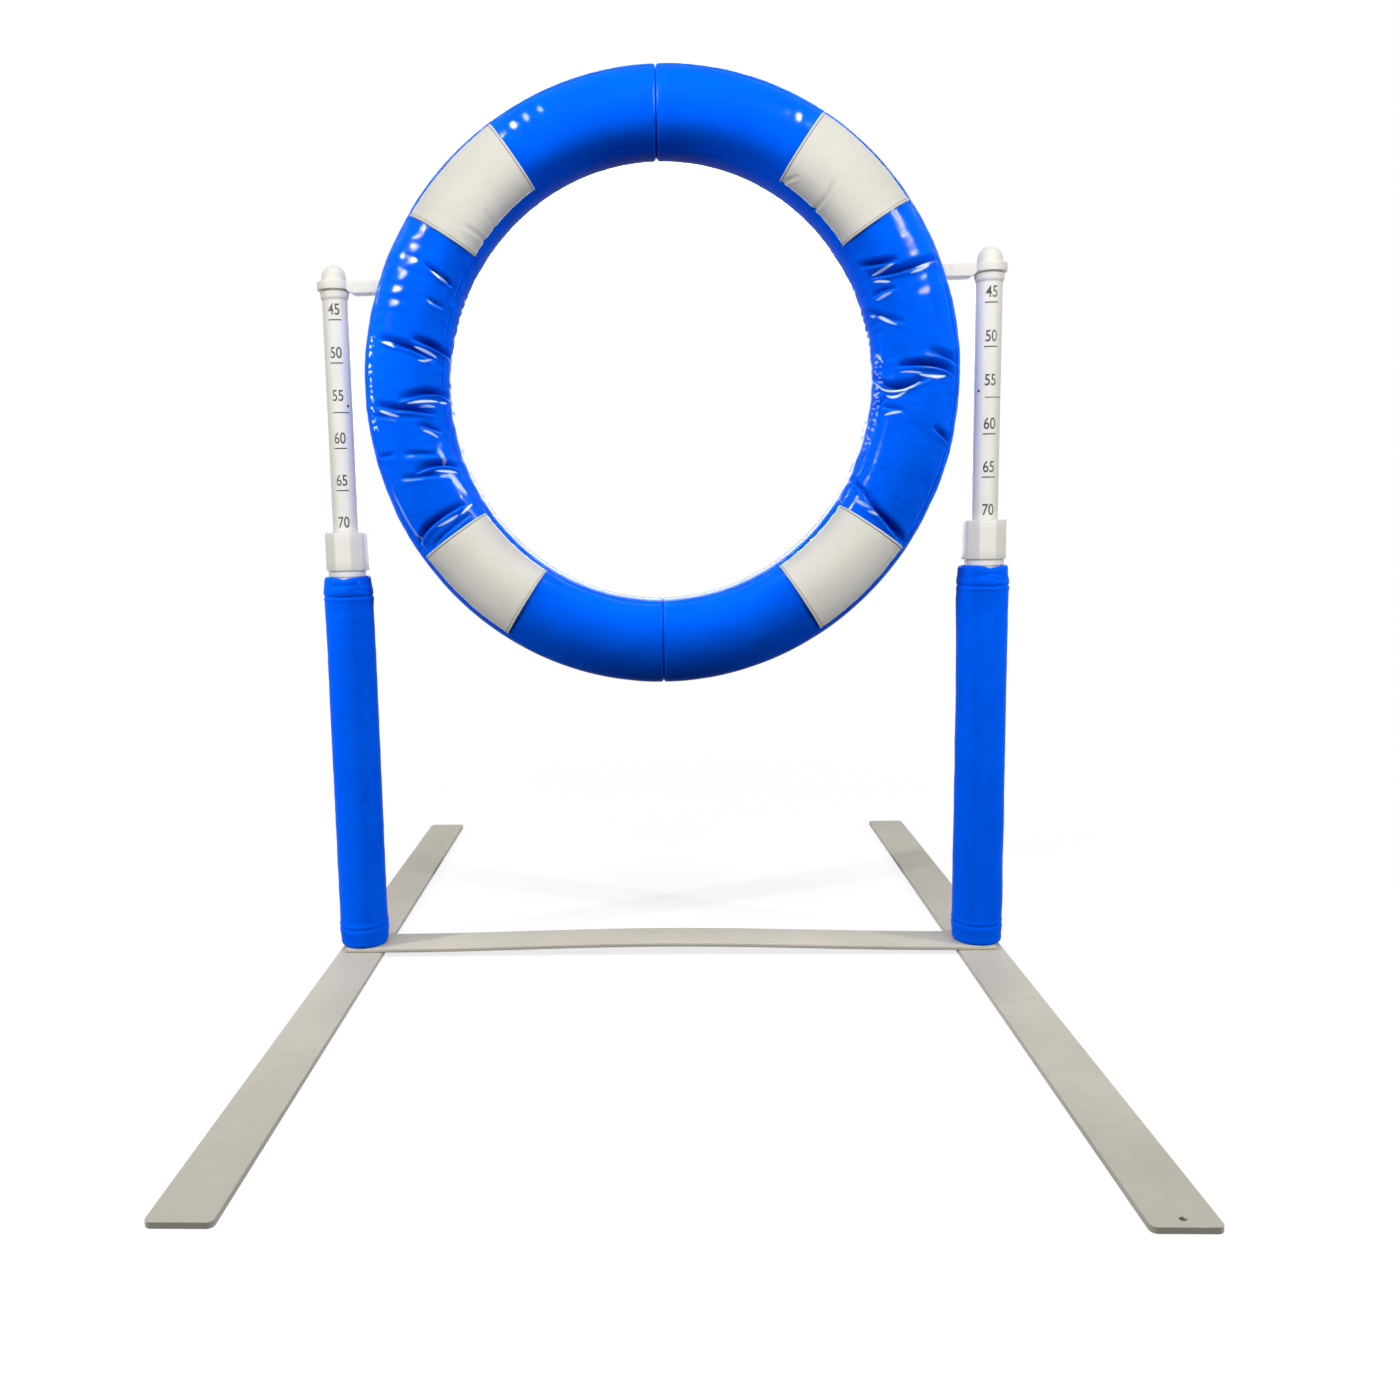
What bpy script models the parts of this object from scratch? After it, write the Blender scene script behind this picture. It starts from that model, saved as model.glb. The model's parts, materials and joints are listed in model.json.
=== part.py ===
"""Free-standing breakaway agility tyre jump, built as an assembly of separate pieces.

Metres, +Z up, +X to the right, -Y to the front. The origin lies on the floor, midway
between the two posts. The left copy of each piece is on the -X side.
"""

import math

import bmesh
import bpy

# Fits
TOUCH = 0.0003  # gap between faces that rest on each other
SLIDE = 0.0003  # radial clearance between pieces that slide or turn on each other
SOFT_FIT = 0.0005  # gap between the foam and what lies against it

# Foot bars and crossbar
FOOT_LENGTH = 1.200
FOOT_WIDTH = 0.056
FOOT_THICK = 0.006
FOOT_CORNER = 0.006
HANG_HOLE_D = 0.006
HANG_HOLE_INSET = 0.011
CROSSBAR_WIDTH = 0.055
CROSSBAR_THICK = 0.005
CROSSBAR_INSET = 0.010  # its end lies this far inside the foot bar's outer edge
CROSSBAR_RISE = 0.006  # bow in the middle
CROSSBAR_STEPS = 14
MILL_EDGE = 0.0006  # broken edge of the flat steel

# Countersunk post bolt, from under the foot bar
BOLT_D = 0.010
BOLT_HEAD_D = 0.020
BOLT_HEAD_H = 0.005
BOLT_LENGTH = 0.034
BOLT_SOCKET_D = 0.007
BOLT_SOCKET_DEPTH = 0.004

# Post: plug, outer tube, foam and vinyl cover
PLUG_FLANGE = 0.003
PLUG_LENGTH = 0.034
OUTER_TUBE_R = 0.021
OUTER_TUBE_WALL = 0.0025
OUTER_TUBE_LENGTH = 0.4613
COVER_R = 0.031
COVER_WALL = 0.0012
COVER_LIP = 0.006  # how far the cover's ends turn in over the foam
COVER_HEM = 0.024  # height of the hem band at each end
COVER_HEM_DRAW = 0.0014  # how far the hem's free edge is drawn in
COVER_SEAM_DEPTH = 0.0009
COVER_SEAM_WIDTH = 0.003
POST_TO_RING = 0.0015  # clearance between cover and ring when the ring is low

# Bushing, collet and clamp nut
BUSHING_FLANGE_R = 0.0235
BUSHING_FLANGE = 0.006
BUSHING_SKIRT = 0.030
NECK_R = 0.0215
NECK_HEIGHT = 0.029
COLLET_HEIGHT = 0.012
COLLET_TOP_R = 0.0185
COLLET_SLOT = 0.002
NUT_LIFT = 0.001
NUT_HEIGHT = 0.0465
NUT_FACETS = 9
NUT_CORNER_R = 0.0268
NUT_EDGE = 0.0016
NUT_MOUTH = 0.001  # clearance of the nut's top hole round the inner tube
NUT_TURN = {"left": 2.0, "right": -4.0}  # degrees

# Inner tube and what it carries
INNER_TUBE_R = 0.0155
INNER_TUBE_WALL = 0.0025
INNER_TUBE_EXPOSED = 0.2818  # above the clamp nut, ring set at 70
HEIGHT_TRAVEL = 0.250  # from 70 down to 45
TUBE_FOOT_GAP = 0.004  # left over the plug when the ring is low
GUIDE_HEIGHT = 0.012
GUIDE_INSET = 0.003
COLLAR_R = 0.0173
COLLAR_SKIRT = 0.0073  # how far the collar reaches down round the tube
COLLAR_STEP_R = 0.0145
COLLAR_STEP = 0.0015
COLLAR_TOP = 0.0029
STUD_PLUG = 0.030
PIN_R = 0.008
PIN_IN_CAP = 0.0125
CAP_R = 0.0153
CAP_HEIGHT = 0.0195

# Arm
EYE_R = 0.0205
EYE_THICK = 0.0099
ARM_WIDTH = 0.022
ARM_THICK = 0.0147
ARM_EDGE = 0.0012
ARM_CLAMP_LENGTH = 0.040
ARM_CLAMP_WIDTH = 0.031
COLLAR_CLEAR = 0.0008  # recess of the arm round the collar

# Tyre ring: two halves on an oval centreline
RING_RISE = 0.169  # ring centre above the clamp nut's top
RING_HALF_WIDTH = 0.301
RING_HALF_HEIGHT = 0.307
PAD_HALF_THICK = 0.0515  # in the ring's plane
PAD_HALF_DEPTH = 0.0545  # front to back
PAD_SQUARENESS = 2.3  # exponent of the section's outline, 2 is an ellipse
PAD_WALL = 0.0035  # vinyl with its batting
PAD_SEAM_ANGLE = 57.0  # front panel's seams, from straight ahead
PAD_SEAM_DEPTH = 0.0015
PAD_SEAM_WIDTH = 4.0  # degrees
PAD_END_DRAW = 0.065  # share by which the section shrinks at the meeting faces
PAD_END_SPAN = 3.0  # degrees over which it shrinks
PAD_STEP = 7.5  # degrees between sections
CORE_STEP = 10.0
HALF_GAP = 0.0003  # from the middle plane to each half
HOOP_R = 0.011
HOOP_WALL = 0.002
HOOP_STEP = 10.0
HOOP_SIDES = 8
PLATE_SET = 0.0045
PLATE_THICK = 0.010
MAGNET_R = 0.016
MAGNET_SET = 0.0008
MAGNET_POCKET = 0.0045
MAGNET_HOLE_R = 0.004
PANEL_THICK = 0.0009
# First and last angle of each white panel, counted round the ring from the right
PANEL_SPANS = {
    "left": {"upper": (124.5, 147.0), "lower": (217.0, 239.0)},
    "right": {"upper": (393.5, 417.0), "lower": (302.5, 325.0)},
}

# Slots in the padding for the arm
SLOT_SIDE = 0.0015
SLOT_ABOVE = 0.0012
SLOT_BELOW = 0.006

SEGMENTS = 24
SMALL_SEGMENTS = 16
SIDES = {"left": -1, "right": 1}

# Places, levels and radii that follow from the sizes above
POST_X = RING_HALF_WIDTH + PAD_HALF_THICK + POST_TO_RING + COVER_R
CROSSBAR_BOTTOM = FOOT_THICK + TOUCH
CROSSBAR_TOP = CROSSBAR_BOTTOM + CROSSBAR_THICK
POST_BASE = CROSSBAR_TOP + TOUCH
TUBE_BASE = POST_BASE + PLUG_FLANGE + TOUCH
TUBE_TOP = TUBE_BASE + OUTER_TUBE_LENGTH
FLANGE_BASE = TUBE_TOP + TOUCH
NECK_BASE = FLANGE_BASE + BUSHING_FLANGE
NECK_TOP = NECK_BASE + NECK_HEIGHT
NUT_BASE = NECK_BASE + NUT_LIFT
NUT_TOP = NUT_BASE + NUT_HEIGHT
COLLET_BASE = NECK_TOP + TOUCH
COLLET_TOP = COLLET_BASE + COLLET_HEIGHT
INNER_TOP = NUT_TOP + INNER_TUBE_EXPOSED
INNER_BASE = POST_BASE + PLUG_LENGTH + TUBE_FOOT_GAP + HEIGHT_TRAVEL
COLLAR_LIP = INNER_TOP + TOUCH
EYE_BASE = COLLAR_LIP + COLLAR_TOP + TOUCH
EYE_TOP = EYE_BASE + EYE_THICK
ARM_BASE = EYE_TOP - ARM_THICK
ARM_MIDDLE = EYE_TOP - ARM_THICK / 2
CAP_BASE = EYE_TOP + TOUCH
RING_Z = NUT_TOP + RING_RISE
TUBE_BORE = OUTER_TUBE_R - OUTER_TUBE_WALL
INNER_BORE = INNER_TUBE_R - INNER_TUBE_WALL
RUNNING_R = INNER_TUBE_R + SLIDE
PLATE_BACK = PLATE_SET + PLATE_THICK

OFF_WHITE = ("off_white_plastic", (0.76, 0.74, 0.68), 0.38, 0.0)
BLUE = ("blue_vinyl", (0.005, 0.12, 0.85), 0.22, 0.0)
WHITE_VINYL = ("white_vinyl", (0.76, 0.74, 0.67), 0.35, 0.0)
COATED = ("coated_steel", (0.55, 0.53, 0.47), 0.45, 0.3)
ZINC = ("zinc_steel", (0.6, 0.6, 0.6), 0.35, 1.0)
FOAM = ("foam", (0.22, 0.22, 0.23), 0.95, 0.0)
NICKEL = ("nickel", (0.66, 0.65, 0.62), 0.25, 1.0)


# Scene helpers


def clear_scene():
    for ob in list(bpy.data.objects):
        bpy.data.objects.remove(ob, do_unlink=True)


def collection(name):
    found = bpy.data.collections.get(name)
    if found is None:
        found = bpy.data.collections.new(name)
        bpy.context.scene.collection.children.link(found)
    return found


def material(look):
    name, colour, roughness, metallic = look
    found = bpy.data.materials.get(name)
    if found is None:
        found = bpy.data.materials.new(name)
        found.use_nodes = True
        shader = found.node_tree.nodes["Principled BSDF"]
        shader.inputs["Base Color"].default_value = (*colour, 1.0)
        shader.inputs["Roughness"].default_value = roughness
        shader.inputs["Metallic"].default_value = metallic
    return found


def place(name, mesh, look=None, at=(0.0, 0.0, 0.0)):
    """Link a mesh as a part, or as a cutter when it has no look."""
    ob = bpy.data.objects.new(name, mesh)
    ob.location = at
    if look is None:
        collection("cutters").objects.link(ob)
        ob.hide_render = True
        ob.display_type = "WIRE"
    else:
        collection("agility_tire_jump").objects.link(ob)
        mesh.materials.append(material(look))
    return ob


def bevel(ob, width, segments=1):
    mod = ob.modifiers.new("edge", "BEVEL")
    mod.width = width
    mod.segments = segments
    mod.limit_method = "ANGLE"
    mod.angle_limit = math.radians(35)


def combine(ob, other, operation="DIFFERENCE"):
    mod = ob.modifiers.new(operation.lower(), "BOOLEAN")
    mod.operation = operation
    mod.object = other


def smooth(mesh, angle=35):
    mesh.shade_smooth()
    mesh.set_sharp_from_angle(angle=math.radians(angle))


# Solids


def box_mesh(name, low, high):
    mesh = bpy.data.meshes.new(name)
    bm = bmesh.new()
    bmesh.ops.create_cube(bm, size=1.0)
    for v in bm.verts:
        for axis in range(3):
            middle = (low[axis] + high[axis]) / 2
            v.co[axis] = middle + v.co[axis] * (high[axis] - low[axis])
    bm.to_mesh(mesh)
    bm.free()
    return mesh


def prism_mesh(name, radius, height, sides):
    """Upright prism or cylinder that stands on its origin."""
    mesh = bpy.data.meshes.new(name)
    bm = bmesh.new()
    bmesh.ops.create_cone(
        bm, cap_ends=True, segments=sides, radius1=radius, radius2=radius, depth=height
    )
    bmesh.ops.translate(bm, vec=(0, 0, height / 2), verts=bm.verts)
    bm.to_mesh(mesh)
    bm.free()
    return mesh


def turned(name, profile, look, at, segments=SEGMENTS):
    """Turn a profile of (radius, height) points about the object's own Z.

    The points run down the outer side. A profile that starts and ends on the axis makes a
    solid, any other one is closed into a ring.
    """
    mesh = bpy.data.meshes.new(name)
    count = len(profile)
    edges = [(i, i + 1) for i in range(count - 1)]
    if profile[0][0] > 0:
        edges.append((count - 1, 0))
    mesh.from_pydata([(r, 0.0, z) for r, z in profile], edges, [])
    ob = place(name, mesh, look, at)
    mod = ob.modifiers.new("turn", "SCREW")
    mod.steps = segments
    mod.render_steps = segments
    mod.use_merge_vertices = True
    mod.merge_threshold = 0.00001
    mod.use_smooth_shade = True
    return ob


def mesh_of_curve(curve, turn=0.0):
    """Closed mesh of a curve, with its loose caps welded, turned about X."""
    ob = bpy.data.objects.new(curve.name, curve)
    bpy.context.scene.collection.objects.link(ob)
    bpy.context.view_layer.update()
    graph = bpy.context.evaluated_depsgraph_get()
    mesh = bpy.data.meshes.new_from_object(ob.evaluated_get(graph))
    bpy.data.objects.remove(ob, do_unlink=True)
    bm = bmesh.new()
    bm.from_mesh(mesh)
    bmesh.ops.remove_doubles(bm, verts=bm.verts, dist=0.00001)
    bmesh.ops.recalc_face_normals(bm, faces=bm.faces)
    for v in bm.verts:
        y, z = v.co.y, v.co.z
        v.co.y = y * math.cos(turn) - z * math.sin(turn)
        v.co.z = y * math.sin(turn) + z * math.cos(turn)
    bm.to_mesh(mesh)
    bm.free()
    return mesh


def poly_curve(name, points, cyclic):
    curve = bpy.data.curves.new(name, "CURVE")
    curve.dimensions = "2D"
    spline = curve.splines.new("POLY")
    spline.points.add(len(points) - 1)
    for point, (x, y) in zip(spline.points, points):
        point.co = (x, y, 0.0, 1.0)
    spline.use_cyclic_u = cyclic
    return curve


def rounded_outline(length, width, corner, steps=3):
    """Corner arcs of a rectangle that is long in Y."""
    points = []
    for quarter, (sx, sy) in enumerate(((1, 1), (-1, 1), (-1, -1), (1, -1))):
        for i in range(steps + 1):
            angle = math.radians(90 * quarter + 90 * i / steps)
            x = sx * (width / 2 - corner) + corner * math.cos(angle)
            y = sy * (length / 2 - corner) + corner * math.sin(angle)
            points.append((x, y))
    return points


# The ring's centreline, sections and sweeps


def ring_point(angle):
    """Point of the centreline in the ring's plane, from its middle."""
    turn = math.radians(angle)
    return RING_HALF_WIDTH * math.cos(turn), RING_HALF_HEIGHT * math.sin(turn)


def centreline_x(height):
    """How far the centreline lies from the middle plane at a height above the floor."""
    share = (height - RING_Z) / RING_HALF_HEIGHT
    return RING_HALF_WIDTH * math.sqrt(1 - share * share)


def half_ends(side):
    """Angles of a half's two ends, counted round the ring from the right."""
    first = 90.0 if side < 0 else 270.0
    return first, first + 180


def half_angles(side, step, overrun, fixed=()):
    """Angles round one half, past both ends by the overrun, with the fixed ones kept."""
    first, last = half_ends(side)
    count = round(180 / step)
    between = [first + 180 * i / count for i in range(1, count)]
    free = {a for a in between if all(abs(a - f) > step / 3 for f in fixed)}
    return sorted(free | {first - overrun, first, *fixed, last, last + overrun})


def pad_angles(side, step, overrun, fixed=()):
    """Angles round one half that also mark where its ends start to shrink."""
    first, last = half_ends(side)
    return half_angles(side, step, overrun, [first + PAD_END_SPAN, *fixed, last - PAD_END_SPAN])


def outline_point(turn, grow):
    """Point of the pad's section: turn 0 faces outward, 90 the front, in degrees."""
    power = 2 / PAD_SQUARENESS
    c, s = math.cos(math.radians(turn)), math.sin(math.radians(turn))
    out = math.copysign(abs(c) ** power, c) * (PAD_HALF_THICK + grow)
    front = math.copysign(abs(s) ** power, s) * (PAD_HALF_DEPTH + grow)
    return out, front


def front_turns(count):
    """Turns of the front panel's points, seam to seam."""
    first, last = 90 - PAD_SEAM_ANGLE, 90 + PAD_SEAM_ANGLE
    return [first + (last - first) * i / count for i in range(count + 1)]


def cover_section():
    """Pad section of four crowned strips between four sewn seams."""
    points = []
    side_span = 180 - 2 * PAD_SEAM_ANGLE
    strips = ((90, 2 * PAD_SEAM_ANGLE, 6), (180, side_span, 3), (270, 2 * PAD_SEAM_ANGLE, 4))
    for middle, span, count in (*strips, (360, side_span, 3)):
        seam = middle - span / 2
        points.append(outline_point(seam - PAD_SEAM_WIDTH, 0))
        points.append(outline_point(seam, -PAD_SEAM_DEPTH))
        points.append(outline_point(seam + PAD_SEAM_WIDTH, 0))
        points += [outline_point(seam + span * i / count, 0) for i in range(1, count)]
    return points


def core_section(grow):
    return [outline_point(36 * i, grow) for i in range(10)]


def circle_section(radius, sides):
    return [
        (radius * math.cos(2 * math.pi * i / sides), radius * math.sin(2 * math.pi * i / sides))
        for i in range(sides)
    ]


def swept_mesh(name, section, angles, closed=True):
    """Sweep a section along the ring's centreline, round the given angles."""
    profile = poly_curve(name + "_section", section, closed)
    guide = bpy.data.objects.new(name + "_section", profile)
    bpy.context.scene.collection.objects.link(guide)
    path = poly_curve(name, [ring_point(a) for a in angles], False)
    path.bevel_mode = "OBJECT"
    path.bevel_object = guide
    path.use_fill_caps = closed
    mesh = mesh_of_curve(path, turn=math.pi / 2)
    bpy.data.objects.remove(guide, do_unlink=True)
    return mesh


def draw_in_ends(mesh):
    """Shrink the section towards the meeting faces at the ring's top and bottom."""
    for v in mesh.vertices:
        angle = math.degrees(math.atan2(v.co.z / RING_HALF_HEIGHT, v.co.x / RING_HALF_WIDTH))
        off = min(abs(angle - 90), abs(angle + 90))
        shrink = 1 - PAD_END_DRAW * max(0.0, 1 - off / PAD_END_SPAN) ** 2
        x, z = ring_point(angle)
        v.co.x = x + (v.co.x - x) * shrink
        v.co.y = v.co.y * shrink
        v.co.z = z + (v.co.z - z) * shrink


# Base


def foot(name, side):
    outline = rounded_outline(FOOT_LENGTH, FOOT_WIDTH, FOOT_CORNER)
    curve = poly_curve(name, outline, True)
    curve.fill_mode = "BOTH"
    curve.extrude = FOOT_THICK / 2
    ob = place(name, mesh_of_curve(curve), COATED, (side * POST_X, 0, FOOT_THICK / 2))
    bevel(ob, MILL_EDGE)
    combine(ob, bolt_hole(name, side))
    if side > 0:
        hole = place(name + "_hang_hole", prism_mesh(name, HANG_HOLE_D / 2, 0.03, 16))
        hole.location = (side * POST_X, HANG_HOLE_INSET - FOOT_LENGTH / 2, -0.01)
        combine(ob, hole)


def crossbar(name):
    reach = POST_X + FOOT_WIDTH / 2 - CROSSBAR_INSET
    flat = POST_X - FOOT_WIDTH / 2
    half = CROSSBAR_WIDTH / 2
    mesh = box_mesh(name, (-reach, -half, CROSSBAR_BOTTOM), (reach, half, CROSSBAR_TOP))
    bm = bmesh.new()
    bm.from_mesh(mesh)
    for i in range(CROSSBAR_STEPS + 1):
        x = flat * (2 * i / CROSSBAR_STEPS - 1)
        everything = bm.verts[:] + bm.edges[:] + bm.faces[:]
        bmesh.ops.bisect_plane(bm, geom=everything, plane_co=(x, 0, 0), plane_no=(1, 0, 0))
    for v in bm.verts:
        share = min(abs(v.co.x) / flat, 1.0)
        v.co.z += CROSSBAR_RISE * math.cos(math.pi / 2 * share) ** 2
    bm.to_mesh(mesh)
    bm.free()
    ob = place(name, mesh, COATED)
    bevel(ob, MILL_EDGE)
    for side_name, side in SIDES.items():
        combine(ob, bolt_hole(f"{name}_{side_name}", side))


def bolt_hole(name, side):
    """Countersunk through hole for the post bolt."""
    shank, head = BOLT_D / 2 + TOUCH, BOLT_HEAD_D / 2 + TOUCH
    top = POST_BASE + PLUG_LENGTH + 0.01
    profile = [(0, top), (shank, top), (shank, BOLT_HEAD_H + TOUCH), (head, TOUCH), (head, -0.01)]
    profile.append((0, -0.01))
    at = (side * POST_X, 0, 0)
    return turned(name + "_bolt_hole", profile, None, at, SMALL_SEGMENTS)


def post_bolt(name, side):
    shank, head = BOLT_D / 2, BOLT_HEAD_D / 2
    base = 2 * TOUCH
    top = base + BOLT_LENGTH
    neck = base + BOLT_HEAD_H
    profile = [(0, top), (shank - 0.001, top), (shank, top - 0.001), (shank, neck), (head, base)]
    profile.append((0, base))
    ob = turned(name, profile, ZINC, (side * POST_X, 0, 0), SMALL_SEGMENTS)
    socket = place(name + "_socket", prism_mesh(name, BOLT_SOCKET_D / 2, BOLT_SOCKET_DEPTH, 6))
    socket.location = (side * POST_X, 0, base - TOUCH)
    combine(ob, socket)


def post_plug(name, side):
    r, flange = TUBE_BORE - TOUCH, OUTER_TUBE_R
    top, step = POST_BASE + PLUG_LENGTH, POST_BASE + PLUG_FLANGE
    profile = [(0, top), (r - 0.0015, top), (r, top - 0.0015), (r, step), (flange, step)]
    profile += [(flange, POST_BASE), (0, POST_BASE)]
    ob = turned(name, profile, OFF_WHITE, (side * POST_X, 0, 0))
    combine(ob, bolt_hole(name, side))


def outer_tube(name, side):
    profile = [(OUTER_TUBE_R, TUBE_TOP), (OUTER_TUBE_R, TUBE_BASE)]
    profile += [(TUBE_BORE, TUBE_BASE), (TUBE_BORE, TUBE_TOP)]
    turned(name, profile, OFF_WHITE, (side * POST_X, 0, 0))


def post_foam(name, side):
    outer = COVER_R - COVER_WALL - SOFT_FIT
    inner = OUTER_TUBE_R + TOUCH
    top = TUBE_TOP - COVER_WALL - 2 * TOUCH
    base = POST_BASE + COVER_WALL + 2 * TOUCH
    edge = COVER_HEM_DRAW + TOUCH
    profile = [(outer - edge, top), (outer, top - COVER_HEM), (outer, base + COVER_HEM)]
    profile += [(outer - edge, base), (inner, base), (inner, top)]
    turned(name, profile, FOAM, (side * POST_X, 0, 0))


def post_cover(name, side):
    """Sleeve with a hem band at each end whose free edge is drawn in over the foam."""
    top, base = TUBE_TOP, POST_BASE + TOUCH
    edge = COVER_R - COVER_HEM_DRAW
    lip = edge - COVER_LIP
    inner = COVER_R - COVER_WALL
    half = COVER_SEAM_WIDTH / 2
    profile = [(lip, top), (edge - COVER_WALL, top), (edge, top - COVER_WALL)]
    for seam, end in ((top - COVER_HEM, top), (base + COVER_HEM, base)):
        bulge = (COVER_R, (seam + end) / 2)
        groove = [(COVER_R, seam + half), (COVER_R - COVER_SEAM_DEPTH, seam)]
        groove.append((COVER_R, seam - half))
        profile += [bulge, *groove] if end > seam else [*groove, bulge]
    profile += [(edge, base + COVER_WALL), (edge - COVER_WALL, base), (lip, base)]
    profile += [(lip, base + COVER_WALL), (edge - COVER_WALL, base + COVER_WALL)]
    profile += [(inner, base + COVER_HEM), (inner, top - COVER_HEM)]
    profile += [(edge - COVER_WALL, top - COVER_WALL), (lip, top - COVER_WALL)]
    turned(name, profile, BLUE, (side * POST_X, 0, 0))


# Bushing, collet and nut


def threaded_bushing(name, side):
    skirt = TUBE_BORE - TOUCH
    base = FLANGE_BASE - BUSHING_SKIRT
    profile = [(NECK_R, NECK_TOP), (NECK_R, NECK_BASE)]
    profile += [(BUSHING_FLANGE_R - 0.001, NECK_BASE), (BUSHING_FLANGE_R, NECK_BASE - 0.001)]
    profile += [(BUSHING_FLANGE_R, FLANGE_BASE), (skirt, FLANGE_BASE), (skirt, base)]
    profile += [(RUNNING_R, base), (RUNNING_R, NECK_TOP)]
    turned(name, profile, OFF_WHITE, (side * POST_X, 0, 0))


def collet(name, side):
    profile = [(COLLET_TOP_R, COLLET_TOP), (NECK_R - 0.001, COLLET_BASE)]
    profile += [(RUNNING_R, COLLET_BASE), (RUNNING_R, COLLET_TOP)]
    ob = turned(name, profile, OFF_WHITE, (side * POST_X, 0, 0))
    half = COLLET_SLOT / 2
    low, high = (-half, 0, COLLET_BASE - 0.01), (half, 0.05, COLLET_TOP + 0.01)
    combine(ob, place(name + "_slot", box_mesh(name, low, high), at=(side * POST_X, 0, 0)))


def clamp_nut(name, side, turn):
    mesh = prism_mesh(name, NUT_CORNER_R, NUT_HEIGHT, NUT_FACETS)
    ob = place(name, mesh, OFF_WHITE, (side * POST_X, 0, NUT_BASE))
    ob.rotation_euler.z = math.radians(turn)
    bevel(ob, NUT_EDGE)
    neck = NECK_R + SLIDE
    mouth = INNER_TUBE_R + NUT_MOUTH
    seat, roof = COLLET_BASE, COLLET_TOP + SLIDE
    profile = [(0, NUT_TOP + 0.01), (mouth, NUT_TOP + 0.01), (mouth, roof)]
    profile += [(COLLET_TOP_R + SLIDE, roof), (neck, seat), (neck, NUT_BASE - 0.01)]
    profile.append((0, NUT_BASE - 0.01))
    combine(ob, turned(name + "_bore", profile, None, (side * POST_X, 0, 0)))


# Inner tube and what it carries


def inner_tube(name, side):
    profile = [(INNER_TUBE_R, INNER_TOP), (INNER_TUBE_R, INNER_BASE)]
    profile += [(INNER_BORE, INNER_BASE), (INNER_BORE, INNER_TOP)]
    turned(name, profile, OFF_WHITE, (side * POST_X, 0, 0))


def guide_ring(name, side):
    base = INNER_BASE + GUIDE_INSET
    top = base + GUIDE_HEIGHT
    outer = TUBE_BORE - SLIDE
    profile = [(outer, top), (outer, base), (RUNNING_R, base), (RUNNING_R, top)]
    turned(name, profile, OFF_WHITE, (side * POST_X, 0, 0))


def top_collar(name, side):
    """Stepped ring over the tube's end, round the pivot pin."""
    top = COLLAR_LIP + COLLAR_TOP
    step = top - COLLAR_STEP
    base = INNER_TOP - COLLAR_SKIRT
    pin = PIN_R + SLIDE
    profile = [(COLLAR_STEP_R, top), (COLLAR_STEP_R, step), (COLLAR_R, step)]
    profile += [(COLLAR_R, base), (RUNNING_R, base)]
    profile += [(RUNNING_R, COLLAR_LIP), (pin, COLLAR_LIP), (pin, top)]
    turned(name, profile, OFF_WHITE, (side * POST_X, 0, 0))


def pivot_stud(name, side):
    """Plug in the inner tube with the pin that the arm turns on."""
    plug = INNER_BORE - SLIDE
    top = CAP_BASE + PIN_IN_CAP
    base = INNER_TOP - STUD_PLUG
    profile = [(0, top), (PIN_R - 0.001, top), (PIN_R, top - 0.001), (PIN_R, INNER_TOP)]
    profile += [(plug, INNER_TOP), (plug, base), (0, base)]
    turned(name, profile, NICKEL, (side * POST_X, 0, 0), SMALL_SEGMENTS)


def dome_cap(name, side):
    bore = PIN_R + SLIDE
    straight = CAP_HEIGHT - CAP_R
    profile = [(0, CAP_BASE + CAP_HEIGHT)]
    for i in range(1, 6):
        turn = math.radians(90 * i / 5)
        profile.append((CAP_R * math.sin(turn), CAP_BASE + straight + CAP_R * math.cos(turn)))
    roof = CAP_BASE + PIN_IN_CAP + SLIDE
    profile += [(CAP_R, CAP_BASE), (bore, CAP_BASE), (bore, roof), (0, roof)]
    turned(name, profile, OFF_WHITE, (side * POST_X, 0, 0))


# Arm


def arm(name, side):
    """Eye round the pivot pin, bar to the ring and clamp round the hoop, in one moulding."""
    mesh = prism_mesh(name, EYE_R, EYE_THICK, SEGMENTS)
    ob = place(name, mesh, OFF_WHITE, (side * POST_X, 0, EYE_BASE))
    bevel(ob, ARM_EDGE)
    clamp_x = centreline_x(ARM_MIDDLE)
    bar = span_box(name + "_bar", side, (clamp_x, POST_X), ARM_WIDTH, (ARM_BASE, EYE_TOP))
    bevel(bar, ARM_EDGE)
    combine(ob, bar, "UNION")
    ends = (clamp_x - ARM_CLAMP_LENGTH / 2, clamp_x + ARM_CLAMP_LENGTH / 2)
    clamp = span_box(name + "_clamp", side, ends, ARM_CLAMP_WIDTH, (ARM_BASE, EYE_TOP))
    bevel(clamp, ARM_EDGE)
    combine(ob, clamp, "UNION")
    pin, collar = PIN_R + SLIDE, COLLAR_R + COLLAR_CLEAR
    profile = [(0, EYE_TOP + 0.01), (pin, EYE_TOP + 0.01), (pin, EYE_BASE), (collar, EYE_BASE)]
    profile += [(collar, ARM_BASE - 0.01), (0, ARM_BASE - 0.01)]
    combine(ob, turned(name + "_bore", profile, None, (side * POST_X, 0, 0)))
    combine(ob, hoop_hole(name, side))


def span_box(name, side, reach, width, levels):
    """Box between two distances from the middle plane, as a cutter or a joined shape."""
    xs = sorted((side * reach[0], side * reach[1]))
    low, high = (xs[0], -width / 2, levels[0]), (xs[1], width / 2, levels[1])
    return place(name, box_mesh(name, low, high))


def hoop_hole(name, side):
    section = circle_section(HOOP_R + 2 * TOUCH, HOOP_SIDES)
    mesh = swept_mesh(name + "_hoop_hole", section, half_angles(side, HOOP_STEP, 6))
    return place(name + "_hoop_hole", mesh, at=(0, 0, RING_Z))


# Ring halves


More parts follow.
